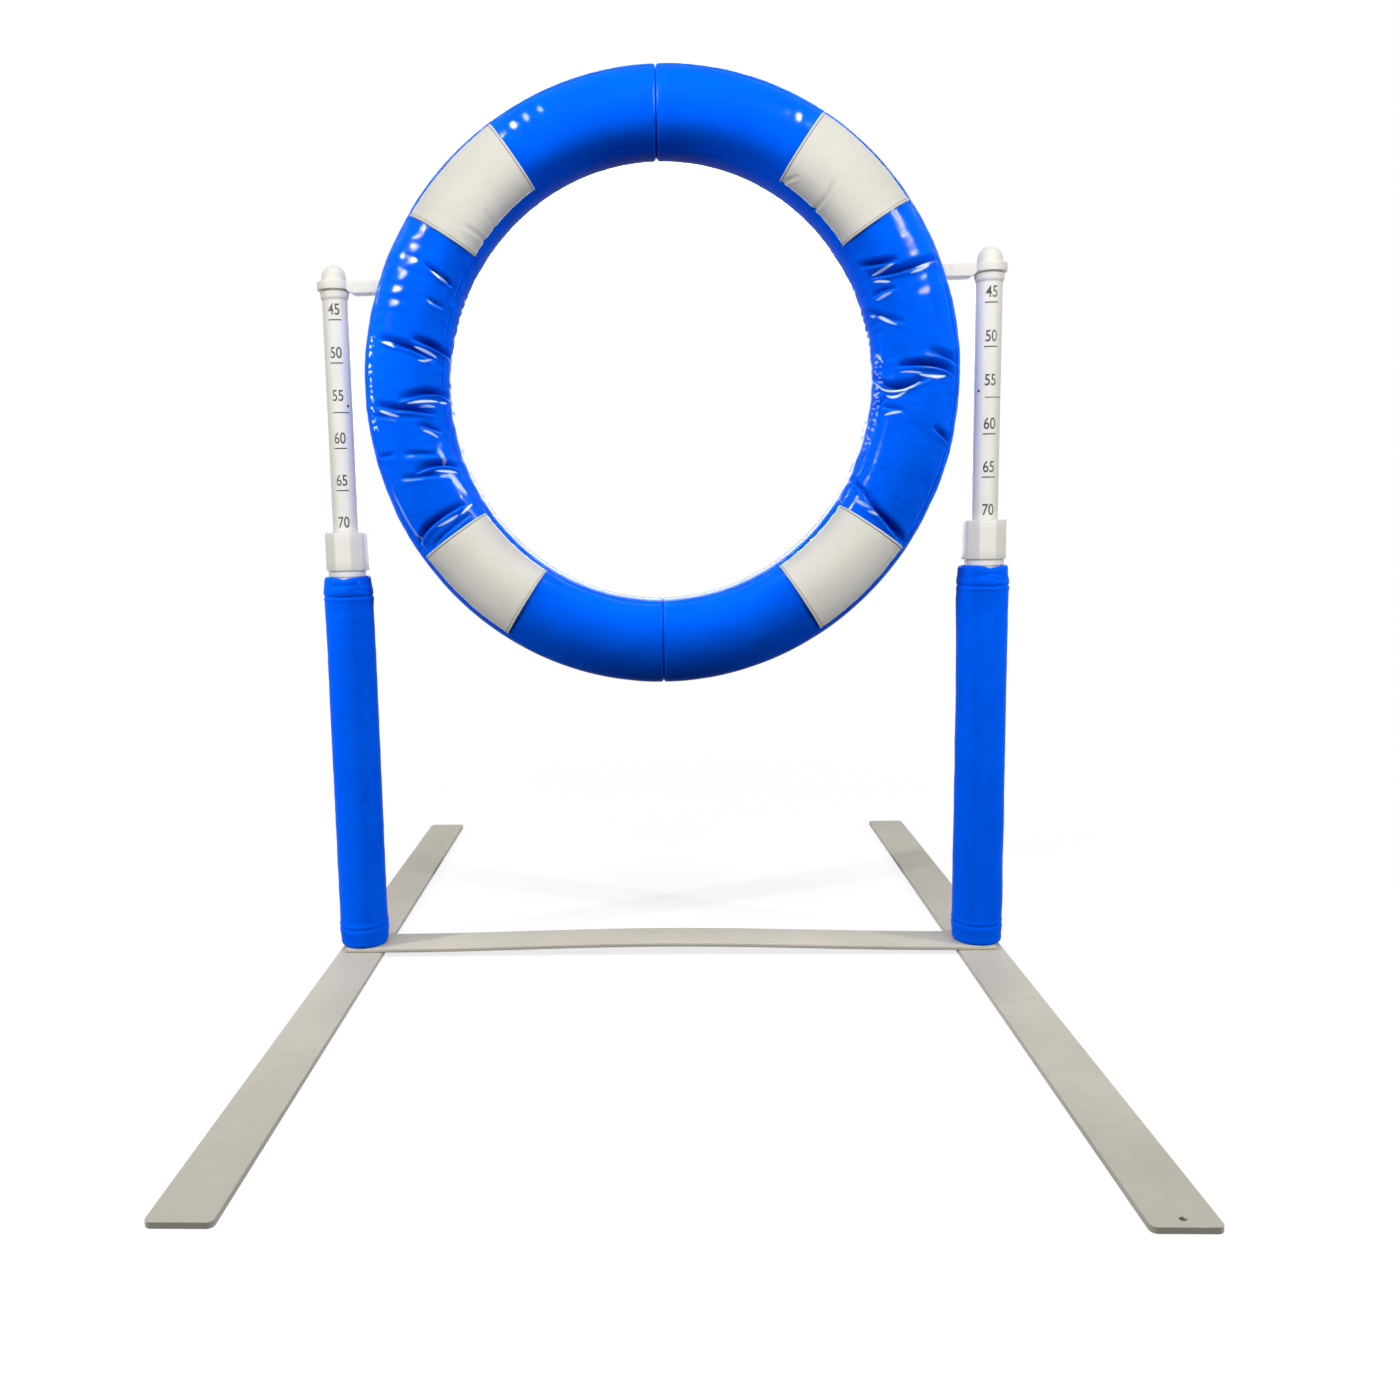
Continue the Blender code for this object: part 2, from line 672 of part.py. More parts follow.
def swing_round(name, side):
    """Round about the post's axis that a half stays inside as it swings."""
    mesh = prism_mesh(name, POST_X - HALF_GAP, 1.0, 128)
    return place(name + "_swing_round", mesh, at=(side * POST_X, 0, RING_Z - 0.5))


def ring_cover(name, side, spans):
    """Sewn cover of one half: open at both ends, with a slot for the arm."""
    edges = [angle for span in spans.values() for angle in span]
    mesh = swept_mesh(name, cover_section(), pad_angles(side, PAD_STEP, 4, edges))
    draw_in_ends(mesh)
    smooth(mesh, 50)
    ob = place(name, mesh, BLUE, (0, 0, RING_Z))
    combine(ob, swing_round(name, side), "INTERSECT")
    combine(ob, place(name + "_bore", core_mesh(name + "_bore", side, 0), at=(0, 0, RING_Z)))
    width = ARM_WIDTH + 2 * SLOT_SIDE
    levels = (ARM_BASE - SLOT_BELOW, EYE_TOP + SLOT_ABOVE)
    reach = (centreline_x(ARM_MIDDLE) + PAD_HALF_THICK / 2, POST_X)
    combine(ob, span_box(name + "_slot", side, reach, width, levels))


def core_mesh(name, side, gap):
    """The space inside the cover, less a gap all round."""
    mesh = swept_mesh(name, core_section(-PAD_WALL - gap), pad_angles(side, CORE_STEP, 8))
    draw_in_ends(mesh)
    return mesh


def foam_core(name, side):
    ob = place(name, core_mesh(name, side, SOFT_FIT), FOAM, (0, 0, RING_Z))
    region = (PLATE_BACK + SOFT_FIT, 2 * POST_X)
    combine(ob, span_box(name + "_region", side, region, 1.0, (0.2, 1.3)), "INTERSECT")
    combine(ob, hoop_hole(name, side))
    clamp_x = centreline_x(ARM_MIDDLE)
    reach = (clamp_x - ARM_CLAMP_LENGTH / 2 - SLOT_SIDE, POST_X)
    width = ARM_CLAMP_WIDTH + 2 * SLOT_SIDE
    levels = (ARM_BASE - SLOT_ABOVE, EYE_TOP + SLOT_ABOVE)
    combine(ob, span_box(name + "_slot", side, reach, width, levels))


def hoop(name, side):
    section = circle_section(HOOP_R, HOOP_SIDES)
    mesh = swept_mesh(name, section, half_angles(side, HOOP_STEP, 6))
    ob = place(name, mesh, ZINC, (0, 0, RING_Z))
    section = circle_section(HOOP_R - HOOP_WALL, HOOP_SIDES)
    bore = swept_mesh(name + "_bore", section, half_angles(side, HOOP_STEP, 8))
    combine(ob, place(name + "_bore", bore, at=(0, 0, RING_Z)))
    region = (PLATE_BACK + TOUCH, 2 * POST_X)
    combine(ob, span_box(name + "_region", side, region, 1.0, (0.2, 1.3)), "INTERSECT")


def end_plate(name, side, up):
    """Plate that closes a half, with a pocket for the magnet."""
    ob = place(name, core_mesh(name, side, SOFT_FIT), BLUE, (0, 0, RING_Z))
    levels = sorted((RING_Z, RING_Z + up * 2 * RING_HALF_HEIGHT))
    slab = span_box(name + "_slab", side, (PLATE_SET, PLATE_BACK), 1.0, levels)
    combine(ob, slab, "INTERSECT")
    pocket = prism_mesh(name, MAGNET_R + TOUCH, MAGNET_POCKET + 0.01, SMALL_SEGMENTS)
    cutter = place(name + "_pocket", pocket)
    cutter.location = (side * (PLATE_SET + MAGNET_POCKET), 0, RING_Z + up * RING_HALF_HEIGHT)
    cutter.rotation_euler.y = -side * math.pi / 2
    combine(ob, cutter)


def magnet(name, side, up):
    """Round magnet with a countersunk screw hole, flush in its plate."""
    face = PLATE_SET + MAGNET_POCKET - TOUCH - MAGNET_SET
    profile = [(MAGNET_R, face), (MAGNET_R, 0), (MAGNET_HOLE_R / 2, 0)]
    profile += [(MAGNET_HOLE_R / 2, face / 2), (MAGNET_HOLE_R, face)]
    at = (side * (MAGNET_SET + face), 0, RING_Z + up * RING_HALF_HEIGHT)
    ob = turned(name, profile, NICKEL, at, SMALL_SEGMENTS)
    ob.rotation_euler.y = -side * math.pi / 2


def white_panel(name, span, angles):
    """Thin panel over the cover's front, between the two seams."""
    inside = [a for a in angles if span[0] <= a <= span[1]]
    edge = PAD_SEAM_ANGLE - PAD_SEAM_WIDTH
    turns = [90 - edge, *front_turns(6)[1:-1], 90 + edge]
    section = [outline_point(turn, TOUCH) for turn in turns]
    mesh = swept_mesh(name, section, inside, closed=False)
    if sum(p.normal.y * p.area for p in mesh.polygons) > 0:
        mesh.flip_normals()
    smooth(mesh, 50)
    ob = place(name, mesh, WHITE_VINYL, (0, 0, RING_Z))
    mod = ob.modifiers.new("thickness", "SOLIDIFY")
    mod.thickness = PANEL_THICK
    mod.offset = 1.0


def build_post(label, side):
    foot(f"{label}_foot_bar", side)
    post_bolt(f"{label}_post_bolt", side)
    post_plug(f"{label}_post_plug", side)
    outer_tube(f"{label}_outer_tube", side)
    post_foam(f"{label}_post_foam", side)
    post_cover(f"{label}_post_cover", side)
    threaded_bushing(f"{label}_threaded_bushing", side)
    collet(f"{label}_collet", side)
    clamp_nut(f"{label}_clamp_nut", side, NUT_TURN[label])
    inner_tube(f"{label}_inner_tube", side)
    guide_ring(f"{label}_guide_ring", side)
    top_collar(f"{label}_top_collar", side)
    pivot_stud(f"{label}_pivot_stud", side)
    dome_cap(f"{label}_dome_cap", side)


def build_ring_half(label, side):
    spans = PANEL_SPANS[label]
    edges = [angle for span in spans.values() for angle in span]
    angles = pad_angles(side, PAD_STEP, 4, edges)
    arm(f"{label}_arm", side)
    hoop(f"{label}_hoop", side)
    foam_core(f"{label}_foam_core", side)
    ring_cover(f"{label}_ring_cover", side, spans)
    for level, span in spans.items():
        white_panel(f"{label}_{level}_white_panel", span, angles)
    for level, up in (("upper", 1), ("lower", -1)):
        end_plate(f"{label}_{level}_end_plate", side, up)
        magnet(f"{label}_{level}_magnet", side, up)


def main():
    clear_scene()
    crossbar("crossbar")
    for label, side in SIDES.items():
        build_post(label, side)
        build_ring_half(label, side)


main()
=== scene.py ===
import json
import math

import bmesh
import bpy
import numpy as np
from mathutils import Matrix, Vector

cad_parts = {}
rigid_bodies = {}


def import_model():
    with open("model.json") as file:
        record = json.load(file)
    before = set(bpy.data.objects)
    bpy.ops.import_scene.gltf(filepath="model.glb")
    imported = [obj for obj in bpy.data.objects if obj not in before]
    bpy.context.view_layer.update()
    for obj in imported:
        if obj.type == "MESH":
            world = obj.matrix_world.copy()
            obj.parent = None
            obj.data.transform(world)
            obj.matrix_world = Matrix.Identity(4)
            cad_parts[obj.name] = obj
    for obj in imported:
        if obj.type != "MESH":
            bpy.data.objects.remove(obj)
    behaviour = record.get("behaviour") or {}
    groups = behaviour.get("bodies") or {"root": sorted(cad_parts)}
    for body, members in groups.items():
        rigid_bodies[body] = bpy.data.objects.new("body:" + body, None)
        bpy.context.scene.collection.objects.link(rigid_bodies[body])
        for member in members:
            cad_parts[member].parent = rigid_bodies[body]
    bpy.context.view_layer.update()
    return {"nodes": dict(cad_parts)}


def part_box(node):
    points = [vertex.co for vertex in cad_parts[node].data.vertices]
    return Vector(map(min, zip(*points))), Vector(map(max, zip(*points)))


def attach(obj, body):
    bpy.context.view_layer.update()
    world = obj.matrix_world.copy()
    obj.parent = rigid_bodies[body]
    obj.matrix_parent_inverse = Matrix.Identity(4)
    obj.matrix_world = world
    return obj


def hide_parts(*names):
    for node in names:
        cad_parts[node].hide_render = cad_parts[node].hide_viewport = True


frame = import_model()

SIDES = {"left": -1, "right": 1}

# Posts, in metres, as the solids have them
POST_X = 0.385
CROSSBAR_BASE = 0.0063
CROSSBAR_TOP = 0.0113
CROSSBAR_BOW = 0.006
COVER_BASE = 0.0119
COVER_TOP = 0.4762
COVER_R = 0.031
COVER_LIP_R = 0.0236
HEM = 0.024
SLEEVE_MM_PER_DEGREE = 0.541
VEE_AT = {-1: 2.0, 1: 4.0}  # where each sleeve's top edge dips, in degrees from the front
NECK_BASE = 0.4825
NUT_BASE = 0.4835
NUT_TOP = 0.530
NUT_CORNER_R = 0.0268
NUT_TURN = {"left": 2.0, "right": -4.0}
INNER_R = 0.0155
INNER_BORE = 0.013
INNER_BASE = 0.2996
INNER_TOP = 0.8118
PIN_BORE_R = 0.0083
EYE_BASE = 0.8153
EYE_TOP = 0.8252
ARM_BASE = 0.8105
CAP_BASE = 0.8255
CAP_R = 0.0153
CAP_HEIGHT = 0.0195

# Tyre ring
RING_Z = 0.699
RING_A = 0.301  # half width of the centreline
RING_B = 0.307  # half height of the centreline
PAD_T = 0.0515  # half thickness in the ring's plane
PAD_D = 0.0545  # half depth, front to back
PAD_POWER = 2.3  # squareness of the solid's section, which spaces the turns
FRONT_POWER = 2.1  # squareness of the finished section
CREST_SHIFT = 0.012  # the pad stands out furthest a little nearer to the hole
SEAMS = (36.0, 154.0, 206.0, 324.0)  # turns round the section; 0 faces outward, 90 the front
END_DRAW = 0.01  # share by which a cover is drawn in at its ends
END_SPAN = 1.2  # degrees of the ring over which that happens
PANELS = {
    "left": {"upper": (123.4, 146.4), "lower": (214.8, 237.2)},
    "right": {"upper": (393.6, 416.8), "lower": (302.9, 325.4)},
}
MM_PER_TURN = 0.925  # along the section, per degree of turn
MM_PER_ANGLE = 5.3  # along the ring, per degree
STITCH_INSET = 2.95  # from a panel's end to its stitches, in millimetres

# Folds of the ring covers: angle at the start, middle and end of the crease, turn at its start and
# end, then its depth and the reach of its upper and lower slopes in millimetres
FOLDS = {"left": (
    ((153.9, 154.9, 155.9), (92, 140), 3.6, 4.2, 1.0),
    ((160.6, 161.2, 161.4), (108, 140), 1.2, 3.2, 1.5),
    ((170.9, 172.0, 174.4), (60, 134), 5.0, 5.0, 1.2),
    ((170.2, 171.2, 172.8), (100, 172), 5.2, 5.4, 1.2),
    ((183.6, 182.2, 183.4), (88, 170), 5.2, 5.4, 1.1),
    ((184.0, 185.6, 187.4), (56, 134), 5.6, 5.0, 1.2),
    ((185.6, 186.2, 187.2), (44, 84), 2.2, 3.2, 1.1),
    ((189.8, 190.6, 192.0), (106, 140), 2.4, 4.2, 1.5),
    ((194.6, 195.8, 197.0), (82, 122), 1.8, 3.6, 2.4),
    ((193.2, 193.8, 194.2), (30, 72), 2.2, 3.6, 1.5),
    ((199.4, 199.4, 201.6), (88, 152), 4.4, 5.0, 1.1),
    ((199.2, 200.4, 201.8), (70, 114), 1.8, 3.6, 2.0),
    ((212.6, 210.4, 210.6), (36, 132), 4.0, 4.2, 1.7),
    ((214.6, 213.6, 213.4), (60, 130), 1.6, 3.0, 1.5),
), "right": (
    ((387.0, 385.4, 384.0), (148, 94), 4.6, 5.0, 1.2),
    ((383.4, 381.6, 381.4), (138, 42), 5.4, 5.0, 1.2),
    ((378.8, 379.2, 378.6), (146, 108), 1.6, 3.2, 1.8),
    ((376.6, 373.4, 371.0), (166, 108), 2.6, 4.2, 1.3),
    ((364.0, 362.8, 361.8), (88, 30), 2.6, 4.6, 1.6),
    ((361.2, 361.2, 359.4), (124, 44), 5.2, 5.0, 1.0),
    ((359.6, 356.2, 358.8), (172, 84), 5.0, 6.2, 1.0),
    ((351.4, 352.6, 354.4), (162, 138), 1.6, 2.5, 1.0),
    ((352.0, 351.6, 351.4), (146, 108), 1.8, 3.6, 1.8),
    ((348.8, 347.8, 346.8), (76, 30), 3.0, 4.2, 1.5),
    ((332.6, 331.6, 329.6), (168, 112), 3.0, 3.0, 1.5),
    ((330.6, 327.4, 326.0), (126, 36), 4.4, 4.6, 2.0),
)}
PANEL_FOLDS = {"left": (
    ((142.4, 142.0, 142.0), (112, 158), 1.3, 3.6, 1.1),
    ((136.4, 137.2, 138.2), (120, 156), 1.1, 3.4, 1.1),
), "right": (
    ((405.6, 404.8, 405.8), (162, 104), 2.6, 3.4, 1.0),
    ((416.2, 414.6, 413.0), (158, 128), 1.2, 3.4, 1.1),
)}

# Painted highlights on the lips of the creases: angles and turns as above, half width in millimetres,
# strength
PAINTED_GLINT_LINES = {"left": (
    ((154.6, 155.0, 155.4), (104, 132), 1.5, 0.95),
    ((171.4, 171.6, 172.2), (69, 84), 1.5, 0.9),
    ((174.6, 174.6, 174.0), (113, 132), 1.3, 0.75),
    ((171.6, 172.4, 173.4), (106, 140), 1.7, 1.0),
    ((184.2, 184.0, 184.2), (98, 141), 1.4, 0.95),
    ((184.4, 184.4, 184.4), (147, 160), 1.2, 0.7),
    ((185.2, 185.2, 185.4), (112, 135), 1.6, 0.4),
    ((185.0, 185.8, 186.6), (64, 86), 1.6, 0.85),
    ((190.8, 191.6, 192.8), (112, 130), 1.4, 0.75),
    ((200.4, 201.4, 202.4), (112, 142), 1.3, 0.85),
    ((202.0, 202.4, 203.2), (114, 134), 2.2, 0.4),
    ((211.6, 211.8, 211.8), (86, 109), 1.5, 0.75),
    ((212.0, 211.6, 211.2), (117, 140), 1.5, 0.8),
    ((203.8, 207.2, 211.0), (45, 50), 3.4, 0.22),
    ((196.4, 197.6, 198.8), (125, 132), 4.6, 0.4),
    ((202.6, 205.0, 207.6), (128, 142), 5.4, 0.5),
), "right": (
    ((383.6, 383.6, 383.8), (134, 103), 1.6, 0.95),
    ((380.6, 380.6, 381.0), (88, 62), 1.3, 0.9),
    ((381.4, 381.4, 381.4), (76, 50), 1.0, 0.6),
    ((382.0, 381.4, 380.6), (133, 114), 1.5, 0.9),
    ((377.8, 378.0, 378.2), (139, 116), 1.8, 0.35),
    ((374.0, 372.4, 371.0), (145, 120), 1.6, 0.6),
    ((375.0, 374.6, 374.4), (160, 152), 1.5, 0.5),
    ((359.4, 359.0, 359.2), (94, 66), 1.5, 1.0),
    ((360.0, 360.0, 359.6), (118, 92), 1.0, 0.45),
    ((358.2, 355.6, 357.8), (165, 94), 1.1, 0.85),
    ((354.6, 354.4, 355.8), (138, 110), 1.5, 0.85),
    ((350.0, 350.6, 351.0), (136, 114), 1.5, 0.7),
    ((327.4, 327.6, 327.8), (107, 95), 1.6, 0.6),
    ((328.2, 328.2, 328.2), (133, 110), 2.4, 0.35),
    ((365.2, 364.2, 363.0), (161, 150), 1.8, 0.6),
)}
# Rows of painted highlights on puckers: first and last angle, turn, strength
PAINTED_GLINT_ROWS = {"left": (169.0, 190.0, 44, 0.7), "right": (340.0, 366.0, 160, 0.4)}

# Rows of small swells: first and last angle, middle turn, height in millimetres
SWELLS = {
    "left": ((148.5, 166.0, 74, 0.55), (109.0, 123.0, 64, 0.4)),
    "right": ((374.0, 384.0, 76, 0.4), (418.0, 423.0, 66, 0.4)),
}

# Printed scale: number and its height on the tube
SCALE = {"45": 0.780, "50": 0.730, "55": 0.680, "60": 0.630, "65": 0.580, "70": 0.530}


# Procedural materials


class Tree:
    """Short way to build a node tree."""

    def __init__(self, tree):
        self.tree = tree

    def add(self, kind, inputs=(), **settings):
        node = self.tree.nodes.new(kind)
        for key, value in settings.items():
            setattr(node, key, value)
        for key, value in dict(inputs).items():
            node.inputs[key].default_value = value
        return node

    def link(self, source, target):
        self.tree.links.new(source, target)

    def between(self, source, low, high, to_low, to_high, **settings):
        """Value carried over from one span to another."""
        spans = {"From Min": low, "From Max": high, "To Min": to_low, "To Max": to_high}
        node = self.add("ShaderNodeMapRange", spans, **settings)
        self.link(source, node.inputs["Value"])
        return node.outputs["Result"]

    def mixed(self, share, first, second):
        """Shader between two others."""
        node = self.add("ShaderNodeMixShader")
        for socket, source in zip(node.inputs, (share, first, second)):
            self.link(source, socket)
        return node.outputs["Shader"]

    def seen_directly(self):
        """1 for rays from the camera and for those reflected or refracted, which show the background."""
        path = self.add("ShaderNodeLightPath")
        last = path.outputs["Is Camera Ray"]
        for kind in ("Is Glossy Ray", "Is Transmission Ray"):
            both = self.add("ShaderNodeMath", operation="MAXIMUM")
            self.link(last, both.inputs[0])
            self.link(path.outputs[kind], both.inputs[1])
            last = both.outputs[0]
        return last


class Nodes(Tree):
    """Node tree of a new material, round its Principled shader."""

    def __init__(self, name):
        self.mat = bpy.data.materials.new(name)
        self.mat.use_nodes = True
        super().__init__(self.mat.node_tree)
        self.shader = self.tree.nodes["Principled BSDF"]
        self.place = self.add("ShaderNodeTexCoord").outputs["Object"]

    def noise(self, scale, detail=2.0, stretch=(1, 1, 1)):
        mapping = self.add("ShaderNodeMapping", {"Scale": stretch})
        self.link(self.place, mapping.inputs["Vector"])
        node = self.add("ShaderNodeTexNoise", {"Scale": scale, "Detail": detail})
        self.link(mapping.outputs["Vector"], node.inputs["Vector"])
        return node.outputs["Fac"]

    def cells(self, scale, randomness):
        node = self.add("ShaderNodeTexVoronoi", {"Scale": scale, "Randomness": randomness})
        self.link(self.place, node.inputs["Vector"])
        return node.outputs["Distance"]

    def ramp(self, source, low, high, colours):
        node = self.add("ShaderNodeValToRGB")
        for element, place, colour in zip(node.color_ramp.elements, (low, high), colours):
            element.position = place
            element.color = (*colour, 1.0)
        self.link(source, node.inputs["Fac"])
        return node.outputs["Color"]

    def spread(self, source, low, high):
        """Noise, which keeps near its middle, stretched over a span of values."""
        return self.between(source, 0.3, 0.7, low, high)

    def bump(self, source, distance, strength=1.0, under=None):
        node = self.add("ShaderNodeBump", {"Distance": distance, "Strength": strength})
        self.link(source, node.inputs["Height"])
        if under is not None:
            self.link(under, node.inputs["Normal"])
        return node.outputs["Normal"]

    def marked(self, colour, name, other):
        """Colour that turns to another where the mesh says so, along its creases; it carries the painted
        shade and the painted highlights.
        """
        node = self.add("ShaderNodeMix", {7: (*other, 1.0)}, data_type="RGBA")
        self.link(self.add("ShaderNodeAttribute", attribute_name=name).outputs["Fac"], node.inputs[0])
        self.link(colour, node.inputs[6])
        return node.outputs[2]

    def painted_front_shade(self, colour, most):
        """Painted shade: colour that grows darker toward the front ends."""
        parts = self.add("ShaderNodeSeparateXYZ")
        self.link(self.place, parts.inputs["Vector"])
        node = self.add("ShaderNodeVectorMath", operation="MULTIPLY")
        self.link(colour, node.inputs[0])
        self.link(self.between(parts.outputs["Y"], -0.6, -0.05, 1 - most, 1.0), node.inputs[1])
        return node.outputs["Vector"]

    def surface(self, colour, roughness, normal):
        self.link(colour, self.shader.inputs["Base Color"])
        self.link(roughness, self.shader.inputs["Roughness"])
        self.link(normal, self.shader.inputs["Normal"])
        return self.mat


def vinyl(name, deep, light, roughness, ior):
    """Coated fabric: a faint scrim weave under a smooth film."""
    n = Nodes(name)
    n.shader.inputs["IOR"].default_value = ior
    tone = n.ramp(n.noise(14, 3), 0.35, 0.65, (deep, light))
    # painted shade in the hollows of the creases and painted highlights on their lips, where the mesh marks
    # them
    tone = n.marked(n.marked(tone, "painted_crease_shade", PAINTED_SHADE_COLOUR), "painted_glint", PAINTED_GLINT_COLOUR)
    weave = n.bump(n.cells(900, 0.25), 0.00004, 0.35)
    film = n.bump(n.noise(160, 2), 0.00012, 0.5, weave)
    return n.surface(tone, n.spread(n.noise(45, 4), roughness - 0.03, roughness + 0.05), film)


def moulded(name, deep, light, roughness, coarse=0.00005, painted_front_shade=0.0):
    """Moulded or coated surface with a fine orange peel, faint scuffs and handling marks."""
    n = Nodes(name)
    tone = n.ramp(n.noise(9, 5), 0.35, 0.68, (deep, light))
    # painted shade, darker toward the front ends, when a share of it is given
    if painted_front_shade:
        tone = n.painted_front_shade(tone, painted_front_shade)
    scuffs = n.noise(60, 6, (1, 1, 0.12))
    peel = n.bump(n.noise(700, 2), coarse, 0.6)
    worn = n.bump(scuffs, coarse, 0.3, peel)
    return n.surface(tone, n.spread(scuffs, roughness - 0.05, roughness + 0.09), worn)


def metal(name, deep, light, roughness):
    """Plated metal, faintly brushed up and down."""
    n = Nodes(name)
    n.shader.inputs["Metallic"].default_value = 1.0
    tone = n.ramp(n.noise(40, 4), 0.35, 0.65, (deep, light))
    brushed = n.noise(260, 3, (1, 1, 0.05))
    normal = n.bump(brushed, 0.00003, 0.4)
    return n.surface(tone, n.spread(brushed, roughness - 0.06, roughness + 0.08), normal)


def foam_look(name):
    """Dark foam with open cells."""
    n = Nodes(name)
    cells = n.cells(1400, 1.0)
    tone = n.ramp(cells, 0.1, 0.7, ((0.07, 0.07, 0.075), (0.2, 0.2, 0.21)))
    return n.surface(tone, n.spread(n.noise(30), 0.85, 0.97), n.bump(cells, 0.0004))


PAINTED_SHADE_COLOUR = (0.0, 0.012, 0.16)  # painted shade: vinyl darkened in the hollow of a crease
PAINTED_GLINT_COLOUR = (0.74, 0.9, 1.0)  # painted highlight: vinyl made pale on a crease's lip
LOOKS = {
    "blue_vinyl": vinyl("blue_vinyl_film", (0.0, 0.074, 0.64), (0.0, 0.084, 0.69), 0.07, 1.035),
    "white_vinyl": vinyl("white_vinyl_film", (0.71, 0.69, 0.61), (0.75, 0.73, 0.65), 0.27, 1.3),
    "off_white_plastic": moulded("off_white_moulding", (0.80, 0.775, 0.70), (0.85, 0.825, 0.75), 0.28),
    "blue_plastic": moulded("blue_moulding", (0.0, 0.075, 0.5), (0.005, 0.09, 0.58), 0.38),
    # the bars get painted shade toward their front ends
    "coated_steel": moulded("coated_bar", (0.335, 0.313, 0.26), (0.372, 0.349, 0.293), 0.45, 0.00012, 0.28),
    "zinc_steel": metal("zinc_plate", (0.52, 0.52, 0.5), (0.64, 0.64, 0.63), 0.34),
    "nickel": metal("nickel_plate", (0.6, 0.58, 0.53), (0.7, 0.68, 0.64), 0.24),
    "foam": foam_look("open_foam"),
    "thread": moulded("grey_thread", (0.13, 0.13, 0.135), (0.22, 0.22, 0.22), 0.6, 0.0001),
    "print": moulded("grey_print", (0.055, 0.055, 0.05), (0.08, 0.08, 0.07), 0.5, 0.00002),
}

# Looks of the solids that stay, by the first of these words in their names
KEPT_LOOKS = {
    "end_plate": "blue_plastic", "hoop": "zinc_steel", "bolt": "zinc_steel", "magnet": "nickel",
    "stud": "nickel", "foam": "foam", "cover": "blue_vinyl", "white_panel": "white_vinyl",
    "foot": "coated_steel", "crossbar": "coated_steel", "": "off_white_plastic",
}


# Mesh helpers


def piece(name, verts, faces, look, body, nodes=()):
    """Link a mesh in place, let it ride on its body and stand for its CAD nodes."""
    mesh = bpy.data.meshes.new(name)
    mesh.from_pydata(np.reshape(verts, (-1, 3)).tolist(), [], faces)
    mesh.validate()
    mesh.shade_smooth()
    return piece_of_mesh(name, mesh, look, body, nodes)


def linked(name, data):
    """New object in the scene."""
    ob = bpy.data.objects.new(name, data)
    bpy.context.scene.collection.objects.link(ob)
    return ob


def piece_of_mesh(name, mesh, look, body, nodes=()):
    ob = linked(name, mesh)
    mesh.materials.append(LOOKS[look])
    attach(ob, body)
    if nodes:
        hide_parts(*nodes)
    return ob


def grid_faces(rows, cols, wrap_rows=False, wrap_cols=False):
    """Quads of a grid of points that is stored row by row."""
    i = np.arange(rows if wrap_rows else rows - 1)[:, None]
    j = np.arange(cols if wrap_cols else cols - 1)[None, :]
    k, m = (i + 1) % rows, (j + 1) % cols
    quads = np.stack([i * cols + j, k * cols + j, k * cols + m, i * cols + m], axis=-1)
    return quads.reshape(-1, 4).tolist()


def rings_faces(rows, cols):
    """Quads between a row of rings, and the faces that close both ends."""
    last = (rows - 1) * cols
    ends = [list(range(cols))[::-1], list(range(last, last + cols))]
    return grid_faces(rows, cols, False, True) + ends


def about_post(x, r, z, turn):
    """Points round a post's axis."""
    return np.stack([x + r * np.cos(turn), r * np.sin(turn), z + 0 * turn], axis=-1)


def softened(profile, radius, steps=4):
    """Profile with each corner turned into a small arc."""
    points = [np.array(p, float) for p in profile]
    made = []
    for i, p in enumerate(points):
        a, b = points[i - 1] - p, points[(i + 1) % len(points)] - p
        cut = min(radius, 0.45 * np.linalg.norm(a), 0.45 * np.linalg.norm(b))
        first, last = p + a / np.linalg.norm(a) * cut, p + b / np.linalg.norm(b) * cut
        for k in range(steps + 1):
            s = k / steps
            made.append((1 - s) ** 2 * first + 2 * s * (1 - s) * p + s * s * last)
    return np.array(made)


def lathe(name, profile, x, look, body, nodes=(), radius=0.0006, segments=72):
    """Closed ring profile of (radius, height) turned about an upright axis at x."""
    line = softened(profile, radius)
    turn = np.linspace(0, 2 * math.pi, segments, endpoint=False)
    verts = about_post(x, line[:, :1], line[:, 1:], turn)
    faces = grid_faces(len(line), segments, True, True)
    outward(piece(name, verts, faces, look, body, nodes))


def outward(ob, sharp=None):
    """Join points that coincide, turn every face outward and keep edges over an angle in degrees sharp."""
    bm = bmesh.new()
    bm.from_mesh(ob.data)
    bmesh.ops.remove_doubles(bm, verts=bm.verts, dist=0.000005)
    bmesh.ops.recalc_face_normals(bm, faces=bm.faces)
    bm.to_mesh(ob.data)
    bm.free()
    if sharp:
        ob.data.set_sharp_from_angle(angle=math.radians(sharp))


def prism(name, outline, low, high, edge, look, body, nodes=()):
    """Upright prism over an outline, with soft edges."""
    mesh = bpy.data.meshes.new(name)
    bm = bmesh.new()
    base = bm.faces.new([bm.verts.new((x, y, low)) for x, y in outline])
    raised = bmesh.ops.extrude_face_region(bm, geom=[base])
    tops = [v for v in raised["geom"] if isinstance(v, bmesh.types.BMVert)]
    bmesh.ops.translate(bm, verts=tops, vec=(0, 0, high - low))
    bmesh.ops.recalc_face_normals(bm, faces=bm.faces)
    bm.to_mesh(mesh)
    bm.free()
    ob = piece_of_mesh(name, mesh, look, body, nodes)
    mod = ob.modifiers.new("soft_edge", "BEVEL")
    mod.width = edge
    mod.segments = 3
    mod.limit_method = "ANGLE"
    mod.angle_limit = math.radians(40)
    mod.harden_normals = True
    mesh.shade_smooth()
    return ob


def arc(x, y, radius, first, last, steps):
    turns = np.radians(np.linspace(first, last, steps + 1))
    return [(x + radius * math.cos(t), y + radius * math.sin(t)) for t in turns]


